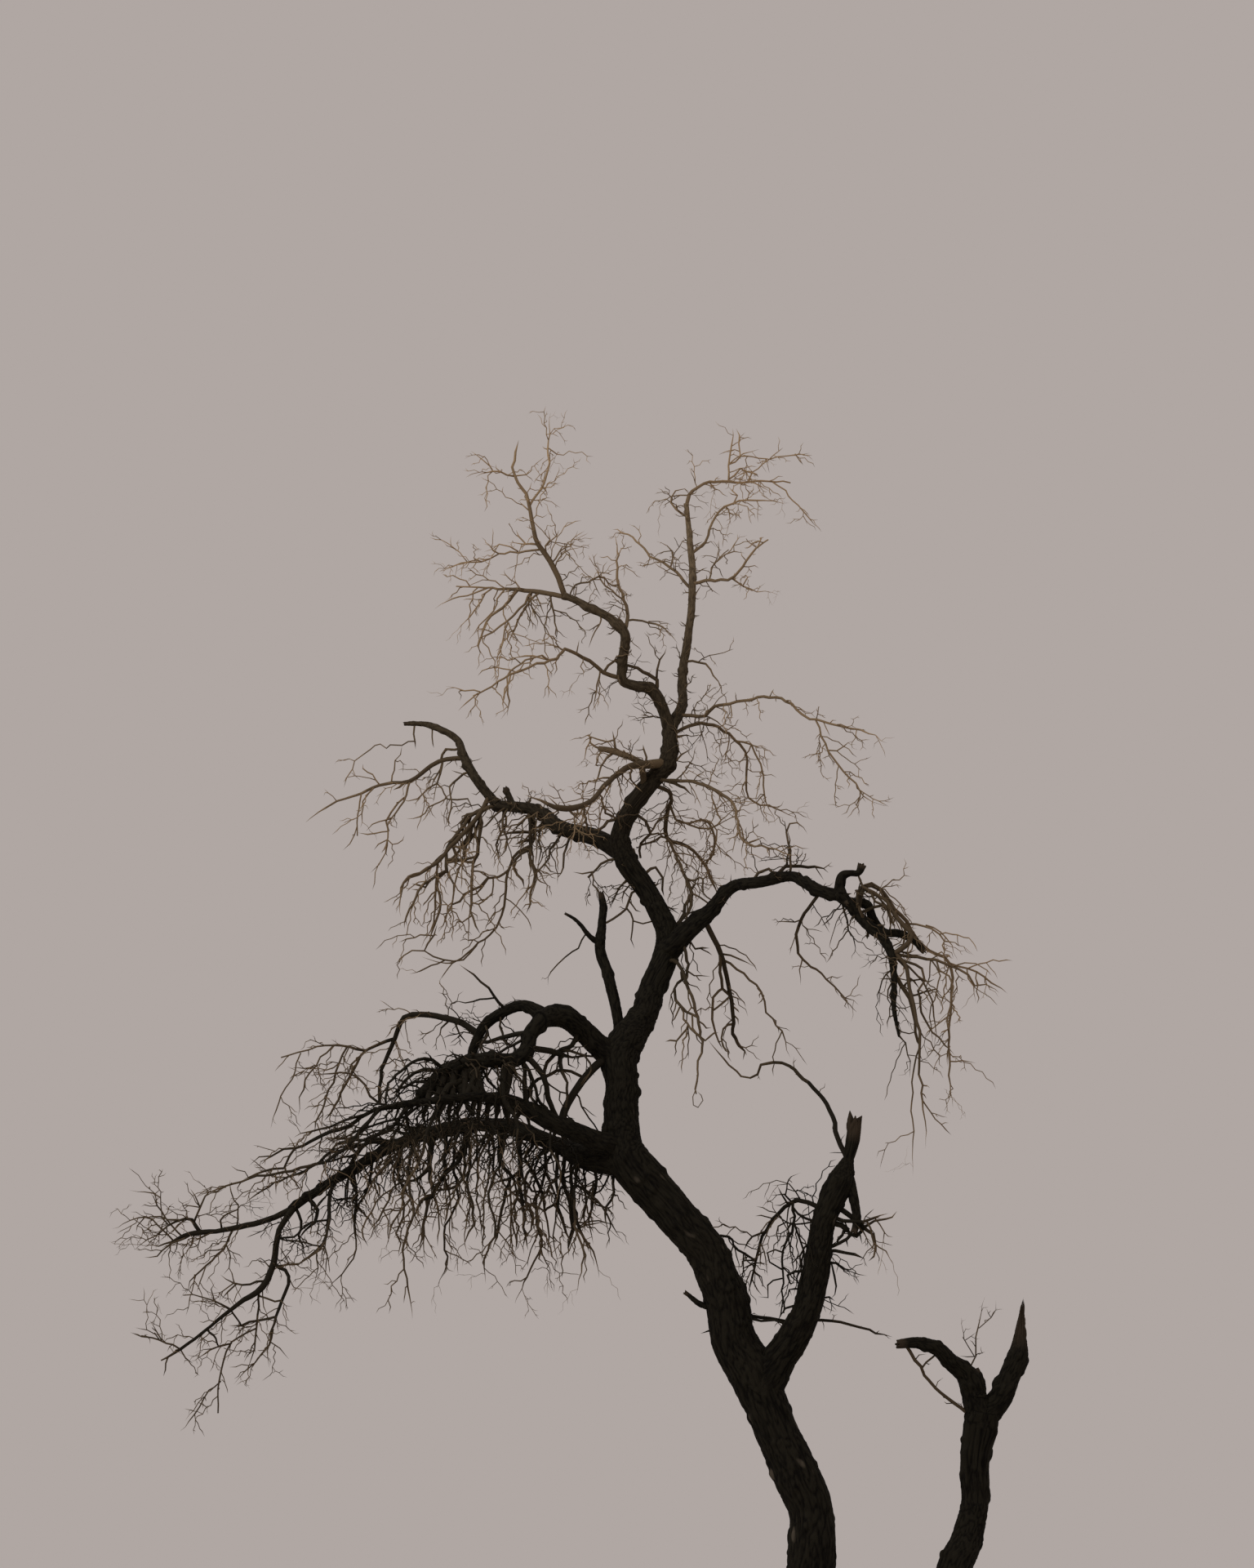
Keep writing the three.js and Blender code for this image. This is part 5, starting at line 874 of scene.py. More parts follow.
class Line:
    """A tapering length of wood: its points in metres, and the radius and direction at each."""

    def __init__(self, points, radii):
        self.points = points
        self.radii = radii

    @functools.cached_property
    def headings(self):
        last = len(self.points) - 1
        found = []
        for index, point in enumerate(self.points):
            ahead = (self.points[min(index + 1, last)] - point).normalized()
            behind = (point - self.points[max(index - 1, 0)]).normalized()
            found.append((ahead + behind).normalized())
        return found

    @functools.cached_property
    def lengths(self):
        """How far along the line each point lies."""
        found = [0.0]
        for before, after in zip(self.points, self.points[1:]):
            found.append(found[-1] + (after - before).length)
        return found

    @functools.cached_property
    def frames(self):
        """Two directions across the line at each point, turned as little as they can be."""
        side = NO_LIMB_HEADS
        found = []
        for heading in self.headings:
            side = (side - heading * side.dot(heading)).normalized()
            found.append((side, side.cross(heading)))
        return found

    def smoothed(self, step):
        """The same line on a curve through its bends, with a point about every step."""
        points, radii = [], []
        for index in range(len(self.points) - 1):
            start, end = self.points[index], self.points[index + 1]
            length = (end - start).length
            leaving = self.headings[index] * length
            arriving = self.headings[index + 1] * length
            pieces = max(1, round(length / step))
            for piece in range(pieces):
                t = piece / pieces
                bend = start * (2 * t**3 - 3 * t**2 + 1) + end * (3 * t**2 - 2 * t**3)
                points.append(bend + leaving * (t**3 - 2 * t**2 + t) + arriving * (t**3 - t**2))
                radii.append(self.radii[index] + (self.radii[index + 1] - self.radii[index]) * t)
        return Line([*points, self.points[-1]], [*radii, self.radii[-1]])


def chance(seed):
    """Random numbers that are the same every time."""
    state = seed
    for warm_up in range(2):
        state = state * MULTIPLIER % MODULUS
    while True:
        state = state * MULTIPLIER % MODULUS
        yield state / MODULUS


def seed_of(parent_seed, index):
    """The seed of a line's twig, from the line's own."""
    return (parent_seed * SEED_MULTIPLIER + index * SEED_STEP) % (MODULUS - 1) + 1


def spread(sizes, share):
    """A size out of a short list that is spread evenly over a limb."""
    place = share * (len(sizes) - 1)
    index = min(math.floor(place), len(sizes) - 2)
    return sizes[index] + (sizes[index + 1] - sizes[index]) * (place - index)


def numbers(text):
    return [float(number) for number in text.split()]


def rows_of(text):
    """The lines of wood that are written down in a text."""
    found = []
    for row in filter(str.strip, text.split(";")):
        ends, depths, radii, places = row.split("|")
        on, _, to = (end.strip() for end in ends.partition(">"))
        pairs = [tuple(float(measure) for measure in place.split(",")) for place in places.split()]
        found.append(Row(on, to, (0, *numbers(depths)), numbers(radii), pairs))
    return found


def seen(x, z, depth):
    """The point at that depth that is seen at x, z on the plane through the trunk's foot."""
    share = (depth - EYE.y) / -EYE.y
    return Vector((EYE.x + (x - EYE.x) * share, depth, EYE.z + (z - EYE.z) * share))


def misses_by(point, x, z):
    """How far a point lies from the place x, z, as seen."""
    share = (point.y - EYE.y) / -EYE.y
    return math.hypot((point.x - EYE.x) / share + EYE.x - x, (point.z - EYE.z) / share + EYE.z - z)


def root_on(parent, x, z):
    """The point and radius on a limb's axis that is seen nearest to the place x, z."""
    reach = len(parent.points) - 1
    tries = []
    for tried in range(reach * ROOT_TRIES + 1):
        index = min(tried // ROOT_TRIES, reach - 1)
        share = tried / ROOT_TRIES - index
        point = parent.points[index].lerp(parent.points[index + 1], share)
        radius = parent.radii[index] + (parent.radii[index + 1] - parent.radii[index]) * share
        tries.append((misses_by(point, x, z), tried, point, radius))
    miss, tried, point, radius = min(tries, key=lambda found: found[:2])
    if tried == reach * ROOT_TRIES:
        back = (parent.points[-2] - parent.points[-1]).normalized()
        point = parent.points[-1] + back * parent.radii[-1] * SUNK_IN_TIP
    return point, radius


def bends_of(parent, row, end_line=None):
    """A row's line at its bends, from its parent's axis on, and up to another line's if it ends there."""
    places = [(x * MM, z * MM) for x, z in row.places]
    last = len(places) - 1
    root, widest = root_on(parent, *places[0]) if parent else (seen(*places[0], 0), math.inf)
    end = root_on(end_line, *places[-1])[0] if end_line else None
    depths = (0, (end.y - root.y) / MM) if end else row.depths
    points = [seen(x, z, root.y + spread(depths, n / last) * MM) for n, (x, z) in enumerate(places)]
    radii = [min(spread(row.radii, n / last) * MM, widest * ROOT_SHARE) for n in range(last + 1)]
    return Line([root, *points[1:-1], end or points[-1]], radii)


@functools.cache
def limb_line(name):
    """A limb by name, at its bends."""
    row = rows_of(LIMBS[name].rows)[0]
    return bends_of(limb_line(row.on) if row.on in LIMBS else None, row)


def pointed(line):
    """The same line, down to nothing at its tip."""
    return Line(line.points, [*line.radii[:-1], 0.0])


def near_end_of(line, root):
    """Whether a root lies on the last length of a line."""
    return (root - line.points[-1]).length < (line.points[-2] - line.points[-1]).length


@functools.cache
def mass_lines(name):
    """The lines of a mass at their bends. Those that end on others, or bear one there, aren't pointed."""
    mass = MASSES[name]
    slender = SLENDER.get(name, 1.0)
    lines = []
    blunt = set()

    def named(line):
        return limb_line(line) if line in LIMBS else lines[int(line)]

    for number, row in enumerate(rows_of(mass.own) + rows_of(mass.between)):
        line = bends_of(named(row.on), row, named(row.to) if row.to else None)
        lines.append(Line(line.points, [radius * slender for radius in line.radii]))
        if row.to:
            blunt.add(number)
        if row.on not in LIMBS and near_end_of(named(row.on), line.points[0]):
            blunt.add(int(row.on))
    return [line if number in blunt else pointed(line) for number, line in enumerate(lines)]


@functools.cache
def wood():
    """Every limb's axis as points to measure from, with the radius there."""
    dense = [limb_line(name).smoothed(WOOD_STEP) for name in LIMBS]
    tree = kdtree.KDTree(sum(len(line.points) for line in dense))
    radii = []
    for line in dense:
        for point, radius in zip(line.points, line.radii):
            tree.insert(point, len(radii))
            radii.append(radius)
    tree.balance()
    return tree, radii


def in_wood(point):
    """Whether a point lies in a limb."""
    tree, radii = wood()
    nearest, index, distance = tree.find(point)
    return distance < radii[index] + WOOD_CLEARANCE


def rule_twig(parent, index, seed, habit):
    """A twig by the rule, at one bend of its parent."""
    draw = chance(seed)
    start = parent.points[index]
    along = parent.headings[index]
    turn = GOLDEN_ANGLE * index + TURN_PLAY * next(draw)
    across = Vector((along.y, -along.x, OFF_UPRIGHT)).normalized()
    if habit.below:
        across = (DOWN - along * DOWN.dot(along) + across * OFF_DOWN).normalized()
        turn = (turn % math.tau - math.pi) * habit.below
    side = Matrix.Rotation(turn, 3, along) @ across
    angle = habit.angle * (1 + ANGLE_PLAY * (2 * next(draw) - 1))
    heading = along * math.cos(angle) + side * math.sin(angle)
    share = index / (len(parent.points) - 1)
    play = habit.shortest + (1 - habit.shortest) * next(draw)
    length = habit.length * (1 - SHORTER_AT_TIP * share) * play
    steps = max(2, round(length / habit.step))
    level = Matrix.Rotation(turn * 2, 3, heading) @ heading.orthogonal()
    points = [start]
    for step in range(steps):
        kink = Vector((next(draw) - 0.5, next(draw) - 0.5, next(draw) - 0.5))
        heading = (heading + DOWN * habit.droop + kink * habit.kink * 2).normalized()
        swing = heading.cross(level).normalized() * habit.zigzag * (1 if step % 2 else -1)
        points.append(points[-1] + (heading + swing).normalized() * (length / steps))
    thick = min(habit.radius, parent.radii[index] * ROOT_SHARE)
    radii = [thick * (1 - TWIG_TAPER * step / steps) for step in range(steps)]
    return Line(points, [*radii, 0.0])


def stays(line, reach):
    """Whether a twig keeps within its masses' reach and grows clear of the limbs."""
    low, high = reach
    tip = line.points[-1]
    inside = all(low[axis] <= tip[axis] <= high[axis] for axis in range(3))
    return inside and not any(in_wood(point) for point in line.points[2:])


# How lines wander between their bends: thin ones more than thick ones
WANDER_STEP = 0.045
WANDER = 0.010
WANDER_LEAST = 0.15
STEADY_RADIUS = 0.018


def wandering(line, seed):
    """A line bent a little at every step, as a twig is at its buds."""
    draw = chance(seed)
    smooth = line.smoothed(WANDER_STEP)
    for index in range(1, len(smooth.points) - 1):
        kink = Vector((next(draw) - 0.5, next(draw) - 0.5, next(draw) - 0.5))
        play = WANDER * max(WANDER_LEAST, 1 - smooth.radii[index] / STEADY_RADIUS)
        smooth.points[index] = smooth.points[index] + kink * play * 2
    return Line(smooth.points, smooth.radii)


# The twigs' tones: paler with height, on the right, the thinner they are and the farther from a limb; partly
# the twigs' own colour and partly painted light
TONES = 8
DARK_BELOW = 3.5
PALE_ABOVE = 7.0
# Paler with height: partly paler young twigs, partly painted misty light over the top of the tree
HEIGHT_AND_PAINTED_LIGHT_TONES = 4.4
# Paler on the right: painted light, brighter on that side of the tree
PAINTED_LIGHT_RIGHT_OF = 0.2
PAINTED_LIGHT_RIGHT_WIDTH = 0.3
RIGHT_PAINTED_LIGHT_TONES = 1.8
# Paler where thin and clear of the limbs: partly paler young twigs, partly a painted glow of the bright sky
# round fine twigs
THIN_AND_PAINTED_GLOW_TONES = 4.6
THIN_SHARE_AT_WOOD = 0.15
STOUT_RADIUS = 0.012
TONE_PLAY = 1.0
TONE_CURVE = 1.4
NEAR_WOOD = 0.10
CLEAR_OF_WOOD = 0.38


def tone_with_painted_light_at(point, radius, play):
    """The tone of wood of that radius there, from 0, the darkest, to TONES - 1, the palest, with painted
    light in it as well as the twig's own colour.
    """
    # Higher up: partly paler young twigs, partly painted misty light
    high = (point.z - DARK_BELOW) / (PALE_ABOVE - DARK_BELOW)
    thin = max(0.0, 1 - radius / STOUT_RADIUS)
    # Thin twigs farther from a limb get more painted glow
    distance = wood()[0].find(point)[2]
    clear = max(0.0, min(1.0, (distance - NEAR_WOOD) / (CLEAR_OF_WOOD - NEAR_WOOD)))
    # Painted light, brighter on the right side of the tree
    right = max(0.0, min(1.0, (point.x - PAINTED_LIGHT_RIGHT_OF) / PAINTED_LIGHT_RIGHT_WIDTH))
    thin_and_painted_glow_tones = THIN_AND_PAINTED_GLOW_TONES * thin * (THIN_SHARE_AT_WOOD + (1 - THIN_SHARE_AT_WOOD) * clear)
    tone = RIGHT_PAINTED_LIGHT_TONES * right + HEIGHT_AND_PAINTED_LIGHT_TONES * max(0.0, high) + thin_and_painted_glow_tones + play
    return max(0, min(TONES - 1, int(tone)))


# Masses that are seen open: they bear no coarse twigs by the rule, and this share of the finer ones
OPEN = {
    "arch_inner_twigs": 0.20, "arch_top_twigs": 0.35, "snag_arching_twig": 0.5, "curtain_1_twigs": 0.55,
    "curtain_5_twigs": 0.55, "left_hanging_outer_twigs": 0.6, "left_hanging_inner_twigs": 0.6,
    "right_hanging_twigs": 0.5, "top_left_side_twigs": 0.7, "top_left_low_twigs": 0.7,
    "right_low_1_twigs": 0.4, "right_low_2_twigs": 0.4, "left_far_twigs": 0.6,
}

# Masses whose lines are drawn in to this share of their radii
SLENDER = {"right_hanging_twigs": 0.74}

# Twigs seen in between bear the coarse twigs of their mass only when they are this long
LONG_TWIG = 0.45
REACH_MARGIN = 0.06
FINER_SEED = 977
FINER_SHARE = 0.8
SHOOT_SEED = 7001
LIMB_SEEDS = 101
LENGTH_SEEDS = 1000

# A twig thicker than this in radius has so many sides
TWIG_SIDES = ((0.016, 8), (0.009, 6), (0.0035, 4))
FEWEST_TWIG_SIDES = 3


class Spray:
    """Twigs joined into one mesh as they are added, each with its own plain colour, whose tone holds painted
    light as well as the twig's own colour.
    """

    def __init__(self, reach, density):
        self.reach = reach
        self.density = density
        self.corners = []
        self.faces = []
        self.tones = []

    def add(self, line, draw):
        """Model a line as a closed tapering rod. It is paler where it gets thin, partly as young twigs are
        and partly as painted glow.
        """
        widest = line.radii[0]
        sides = next((count for least, count in TWIG_SIDES if widest > least), FEWEST_TWIG_SIDES)
        turns = [(math.cos(math.tau * n / sides), math.sin(math.tau * n / sides)) for n in range(sides)]
        first = len(self.corners)
        pointed_end = line.radii[-1] == 0
        rings = len(line.points) - (1 if pointed_end else 0)
        play = TONE_PLAY * (next(draw) - 0.5)
        for point, radius, (one, other) in zip(line.points[:rings], line.radii, line.frames):
            self.corners.extend(point + (one * cosine + other * sine) * radius for cosine, sine in turns)
        self.faces.append(tuple(range(first, first + sides)))
        # Each part takes a tone that holds painted light as well as the twig's own colour
        self.tones.append(tone_with_painted_light_at(line.points[0], widest, play))
        for ring in range(rings - 1):
            low = first + ring * sides
            for side in range(sides):
                after = (side + 1) % sides
                self.faces.append((low + after, low + side, low + side + sides, low + after + sides))
            self.tones.extend([tone_with_painted_light_at(line.points[ring], line.radii[ring], play)] * sides)
        low = first + (rings - 1) * sides
        if pointed_end:
            self.corners.append(line.points[-1])
            tip = len(self.corners) - 1
            self.faces.extend((low + (side + 1) % sides, low + side, tip) for side in range(sides))
            self.tones.extend([tone_with_painted_light_at(line.points[-1], line.radii[rings - 1], play)] * sides)
        else:
            self.faces.append(tuple(reversed(range(low, low + sides))))
            self.tones.append(tone_with_painted_light_at(line.points[-1], line.radii[-1], play))

    def grow_finer(self, parent, seed, habits, share=1.0):
        """Twigs by the rule at the bends of a line, and finer ones at the bends of those."""
        habit, *finer = habits
        draw = chance(seed_of(seed, FINER_SEED))
        for index in range(1, len(parent.points) - 1):
            if next(draw) > self.density * share:
                continue
            twig_seed = seed_of(seed, FINER_SEED + index)
            twig = rule_twig(parent, index, twig_seed, habit)
            if stays(twig, self.reach):
                self.add(twig, draw)
                if finer:
                    self.grow_finer(twig, twig_seed, finer, share * FINER_SHARE)

    def grow_mass(self, name):
        """A mass: its stem and arms, its twigs by the rule, and finer twigs on all of them."""
        mass = MASSES[name]
        number = list(MASSES).index(name)
        finer = FINER[mass.habit]
        share = OPEN.get(name, 1.0)
        own = len(rows_of(mass.own))
        for order, line in enumerate(mass_lines(name)):
            seed = seed_of(number + 1, order)
            draw = chance(seed)
            fine = wandering(line, seed)
            self.add(fine, draw)
            self.grow_finer(fine, seed, finer, share)
            if name in OPEN or (order >= own and line.lengths[-1] < LONG_TWIG):
                continue
            for index in range(1, len(line.points) - 1, mass.habit.every):
                twig_seed = seed_of(seed, index)
                twig = rule_twig(line, index, twig_seed, mass.habit)
                if stays(twig, self.reach):
                    fine = wandering(twig, twig_seed)
                    self.add(fine, draw)
                    self.grow_finer(fine, twig_seed, finer, share)

    def grow_shoots(self, limb, first, last, spacing, habit, finer):
        """Shoots off a limb between two shares of its length, with finer twigs on them."""
        line = limb_line(limb).smoothed(spacing)
        seed = SHOOT_SEED + list(LIMBS).index(limb) * LIMB_SEEDS + round(first * LENGTH_SEEDS)
        draw = chance(seed)
        ends = len(line.points) - 1
        for index in range(max(1, round(first * ends)), round(last * ends)):
            shoot_seed = seed_of(seed, index)
            shoot = rule_twig(line, index, shoot_seed, habit)
            if stays(shoot, self.reach):
                self.add(shoot, draw)
                if finer:
                    self.grow_finer(shoot, shoot_seed, finer)

    def made(self, name, materials):
        """The spray as an object."""
        mesh = bpy.data.meshes.new(name)
        mesh.from_pydata(self.corners, [], self.faces)
        for material in materials:
            mesh.materials.append(material)
        mesh.polygons.foreach_set("material_index", self.tones)
        mesh.shade_smooth()
        obj = bpy.data.objects.new(name, mesh)
        bpy.context.scene.collection.objects.link(obj)
        return obj


def reach_of(names):
    """The space that some masses fill, and a little round it."""
    boxes = [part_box(name) for name in names]
    low = [min(box[0][axis] for box in boxes) - REACH_MARGIN for axis in range(3)]
    high = [max(box[1][axis] for box in boxes) + REACH_MARGIN for axis in range(3)]
    return low, high


class Maths:
    """A shader value that takes part in Python sums. Each sum adds its own Math node."""

    def __init__(self, tree, socket):
        self.tree = tree
        self.socket = socket

    def joined(self, operation, first, second=None):
        node = self.tree.nodes.new("ShaderNodeMath")
        node.operation = operation
        for place, value in enumerate((first, second)):
            if isinstance(value, Maths):
                self.tree.links.new(value.socket, node.inputs[place])
            elif value is not None:
                node.inputs[place].default_value = value
        return Maths(self.tree, node.outputs[0])

    def __add__(self, other):
        return self.joined("ADD", self, other)

    def __sub__(self, other):
        return self.joined("SUBTRACT", self, other)

    def __rsub__(self, other):
        return self.joined("SUBTRACT", other, self)

    def __mul__(self, other):
        return self.joined("MULTIPLY", self, other)

    def __pow__(self, other):
        return self.joined("POWER", self, other)

    def clamped(self):
        result = self.joined("ADD", self, 0.0)
        result.socket.node.use_clamp = True
        return result

    __radd__ = __add__
    __rmul__ = __mul__


class Finish:
    """A material that is being made: a Principled shader, and nodes by type."""

    def __init__(self, name):
        self.material = bpy.data.materials.new(name)
        self.material.use_nodes = True
        self.tree = self.material.node_tree
        self.shader = self.tree.nodes["Principled BSDF"]

    def node(self, kind, output=0, settings=None, **inputs):
        """One output of a new node. Settings come first, and then the values and links of its sockets."""
        node = self.tree.nodes.new("ShaderNode" + kind)
        for setting, value in (settings or {}).items():
            setattr(node, setting, value)
        for name, value in inputs.items():
            self.give(node.inputs[name.replace("_", " ")], value)
        return Maths(self.tree, node.outputs[output])

    def give(self, socket, value):
        if isinstance(value, Maths):
            self.tree.links.new(value.socket, socket)
        else:
            socket.default_value = value

    def mixed(self, share, first, second):
        """A colour between two others."""
        return self.node("Mix", 2, {"data_type": "RGBA"}, Factor=share, A=first, B=second)

    def scaled(self, place, by):
        """A place with each of its three numbers multiplied."""
        node = self.tree.nodes.new("ShaderNodeVectorMath")
        node.operation = "MULTIPLY"
        self.give(node.inputs[0], place)
        self.give(node.inputs[1], by)
        return Maths(self.tree, node.outputs[0])


def colour_prop(name, description, default):
    """A setting for a colour."""
    return bpy.props.FloatVectorProperty(
        name=name, description=description, default=default, subtype="COLOR", size=3, min=0, max=1
    )


class TREE_PG_bark(bpy.types.PropertyGroup):
    mesh_step: bpy.props.FloatProperty(
        name="Mesh step", description="Size of the faces that carry the bark's relief",
        default=0.008, min=0.003, max=0.05, unit="LENGTH",
    )
    furrow_depth: bpy.props.FloatProperty(
        name="Furrow depth", description="Depth of the furrows on the thickest wood",
        default=0.007, min=0, max=0.02, unit="LENGTH",
    )
    ridge: colour_prop("Ridges", "Colour of the bark's ridges", (0.0175, 0.0150, 0.0095))
    # Upper ridges: partly the paler bark of young stems, partly painted misty light over the top of the tree
    upper: colour_prop("Upper ridges", "Colour of the ridges on the stems at the top", (0.330, 0.245, 0.150))
    furrow: colour_prop("Furrows", "Colour in the bark's furrows", (0.005, 0.0042, 0.0034))
    scar: colour_prop("Scars", "Colour of the small pale scars on the low bark", (0.085, 0.070, 0.052))
    torn: colour_prop("Torn wood", "Colour of the bare wood at broken ends", (0.075, 0.055, 0.037))


class TREE_PG_twigs(bpy.types.PropertyGroup):
    # The twigs' tones run between these two colours; the pale end is partly paler young twigs and partly
    # painted misty light and glow
    darkest: colour_prop("Darkest twigs", "Colour of the thick low twigs", (0.016, 0.0125, 0.0065))
    palest: colour_prop("Palest twigs", "Colour of the fine twigs at the top", (0.450, 0.315, 0.180))
    density: bpy.props.FloatProperty(
        name="Density", description="Share of the bends that bear a side twig",
        default=0.58, min=0, max=1, subtype="FACTOR",
    )


class TREE_PG_stage(bpy.types.PropertyGroup):
    sky: colour_prop("Sky", "Colour of the soft light all round", (0.434, 0.386, 0.366))
    floor: colour_prop("Floor", "Colour of the plain floor", (0.55, 0.52, 0.49))
    floor_radius: bpy.props.FloatProperty(
        name="Floor radius", description="How far the plain floor goes", default=45, unit="LENGTH",
    )


# The bark's patterns: their scales across and along the wood, and how finely they are drawn
GRAIN = {"by": (60, 60, 18), "detail": 6.0}
FIBRES = {"by": (220, 220, 9), "detail": 4.0}
SCARS = {"by": (11, 11, 6), "detail": 1.0}
PATCH_SCALE = 5.0
PATCH_DETAIL = 3.0

# How a pattern is cut into a share from 0 to 1: it is multiplied, and then lessened
PATCH_CUT = (3.0, 1.5)
SCAR_CUT = (14, 10.2)
FIBRE_CUT = (2.4, 0.7)
# The upper colour comes in with height: partly paler young bark, partly painted misty light
UPPER_PAINTED_LIGHT_CUT = (0.36, 1.66)
UPPER_PAINTED_LIGHT_CURVE = 2.2
RIDGE_HEIGHT = 1.3
RIDGE_GRAIN = 0.8
RIDGE_LEVEL = 0.65

# The bark's tones against the colours that are set
WEATHERED = 1.5
WEATHERED_SHARE = 0.45
UPPER_FURROW = 0.5
TORN_FURROW = 0.35
BARK_ROUGHNESS = 0.98
RIDGE_SMOOTHER = 0.16
BARK_SHINE = 0.1
BUMP_STRENGTH = 0.6
BUMP_DEPTH = 0.004

# A twig's skin: how uneven it is, and how rough
TWIG_GRAIN_SCALE = 90.0
TWIG_GRAIN_DETAIL = 3.0
TWIG_UNEVEN = 0.25
TWIG_ROUGHNESS = 0.7
TWIG_ROUGHER = 0.25
TWIG_SHINE = 0.2


def shade(colour, share=1.0):
    """A colour made darker or paler, as a socket takes it."""
    return (*[part * share for part in colour], 1)


def cut(pattern, slope, lessened):
    """A pattern as a share from 0 to 1."""
    return (pattern * slope - lessened).clamped()


def pattern_on(finish, place, by, detail):
    """Noise drawn out along the wood."""
    return finish.node("TexNoise", 0, Vector=finish.scaled(place, by), Scale=1.0, Detail=detail)


def bark_finish(settings):
    """Near-black bark, paler on its ridges, with bare wood where it is torn. Towards the top it turns pale,
    partly as young bark and partly as painted misty light.
    """
    finish = Finish("bark")
    place = finish.node("Attribute", 1, {"attribute_name": "bark_place"})
    height = finish.node("Attribute", 2, {"attribute_name": "bark_height"})
    torn = finish.node("Attribute", 2, {"attribute_name": "torn"})
    grain = pattern_on(finish, place, **GRAIN)
    patches = finish.node("TexNoise", 0, Vector=place, Scale=PATCH_SCALE, Detail=PATCH_DETAIL)
    fibres = pattern_on(finish, place, **FIBRES)
    ridge = (height * RIDGE_HEIGHT + grain * RIDGE_GRAIN - RIDGE_LEVEL).clamped()
    bark = finish.mixed(ridge, shade(settings.furrow), shade(settings.ridge))
    weathered = finish.mixed(cut(patches, *PATCH_CUT), bark, shade(settings.ridge, WEATHERED))
    scars = pattern_on(finish, place, **SCARS)
    low_bark = finish.mixed(WEATHERED_SHARE, bark, weathered)
    scarred = finish.mixed(cut(scars, *SCAR_CUT), low_bark, shade(settings.scar))
    # By height the bark turns to the upper colour: partly paler young bark, partly painted misty light
    level = finish.node("SeparateXYZ", 2, Vector=finish.node("TexCoord", 3))
    upper = finish.mixed(ridge, shade(settings.upper, UPPER_FURROW), shade(settings.upper))
    bark_with_painted_light = finish.mixed(cut(level, *UPPER_PAINTED_LIGHT_CUT) ** UPPER_PAINTED_LIGHT_CURVE, scarred, upper)
    bare = finish.mixed(cut(fibres, *FIBRE_CUT), shade(settings.torn, TORN_FURROW), shade(settings.torn))
    finish.give(finish.shader.inputs["Base Color"], finish.mixed(torn, bark_with_painted_light, bare))
    finish.give(finish.shader.inputs["Roughness"], BARK_ROUGHNESS - ridge * RIDGE_SMOOTHER)
    skin = grain * (1 - torn) + fibres * torn
    bump = finish.node("Bump", 0, Strength=BUMP_STRENGTH, Distance=BUMP_DEPTH, Height=skin)
    finish.give(finish.shader.inputs["Normal"], bump)
    finish.shader.inputs["Specular IOR Level"].default_value = BARK_SHINE
    return finish.material


def twig_finish(name, colour):
    """A twig's skin in one plain colour, a little uneven."""
    finish = Finish(name)
    place = finish.node("TexCoord", 3)
    grain = finish.node("TexNoise", 0, Vector=place, Scale=TWIG_GRAIN_SCALE, Detail=TWIG_GRAIN_DETAIL)
    skin = finish.mixed(grain, shade(colour, 1 - TWIG_UNEVEN), shade(colour, 1 + TWIG_UNEVEN))
    finish.give(finish.shader.inputs["Base Color"], skin)
    finish.give(finish.shader.inputs["Roughness"], TWIG_ROUGHNESS + grain * TWIG_ROUGHER)
    finish.shader.inputs["Specular IOR Level"].default_value = TWIG_SHINE
    return finish.material


@functools.cache
def bark_material():
    return bark_finish(bpy.context.scene.winter_tree_bark)


@functools.cache
def twig_materials():
    settings = bpy.context.scene.winter_tree_twigs
    made = []
    # One copy of the twig material for each tone: paler copies that are partly painted light
    for tone in range(TONES):
        share = (tone / (TONES - 1)) ** TONE_CURVE
        colour = [a + (b - a) * share for a, b in zip(settings.darkest, settings.palest)]
        made.append(twig_finish(f"twig_tone_painted_light_{tone + 1}", colour))
    return made


# The bark's relief: long plates between furrows, on lumps as wide as the limb
LUMP_SHARE = 0.07
LUMP_SCALE = 5.5
KNOB_SHARE = 0.90
KNOB_WIDEST = 0.028
KNOB_SCALE = 17.0
KNOBS_ABOVE = 0.20
SPLINTERED = 0.5
CROOK_SHARE = 0.30
CROOKED_RADIUS = 0.035
CROOK_SCALE = 6.0
CROOK_SEED = 7
PLATE_WIDTH = 0.020
PLATE_LENGTH = 0.085
NARROW_PLATES = 0.45
THICK_RADIUS = 0.11
SHALLOW_FURROWS = 0.25
COARSE_SHARE = 0.68
COARSE_GAIN = 3.6
FINE_SHARE = 0.32
FINE_GAIN = 3.2
FINE_SCALE = 2.1
FINE_SHIFT = Vector((7.3, 1.9, 4.4))
SKIN_LEVEL = 0.6

# Splinters at a torn end
SPLINTER_SCALE = 2.4
SPLINTER_STRETCH = 3
SPLINTER_LEVEL = 0.1
TORN_SPREAD = 1.8

# How finely the limbs are drawn, against the step that is set
FEWEST_LIMB_SIDES = 12
LEAST_RADIUS = 0.0006
WELD = 1e-6
LIMB_STEP = 0.8
STUB_STEP = 0.7
STUB_TORN = 0.03


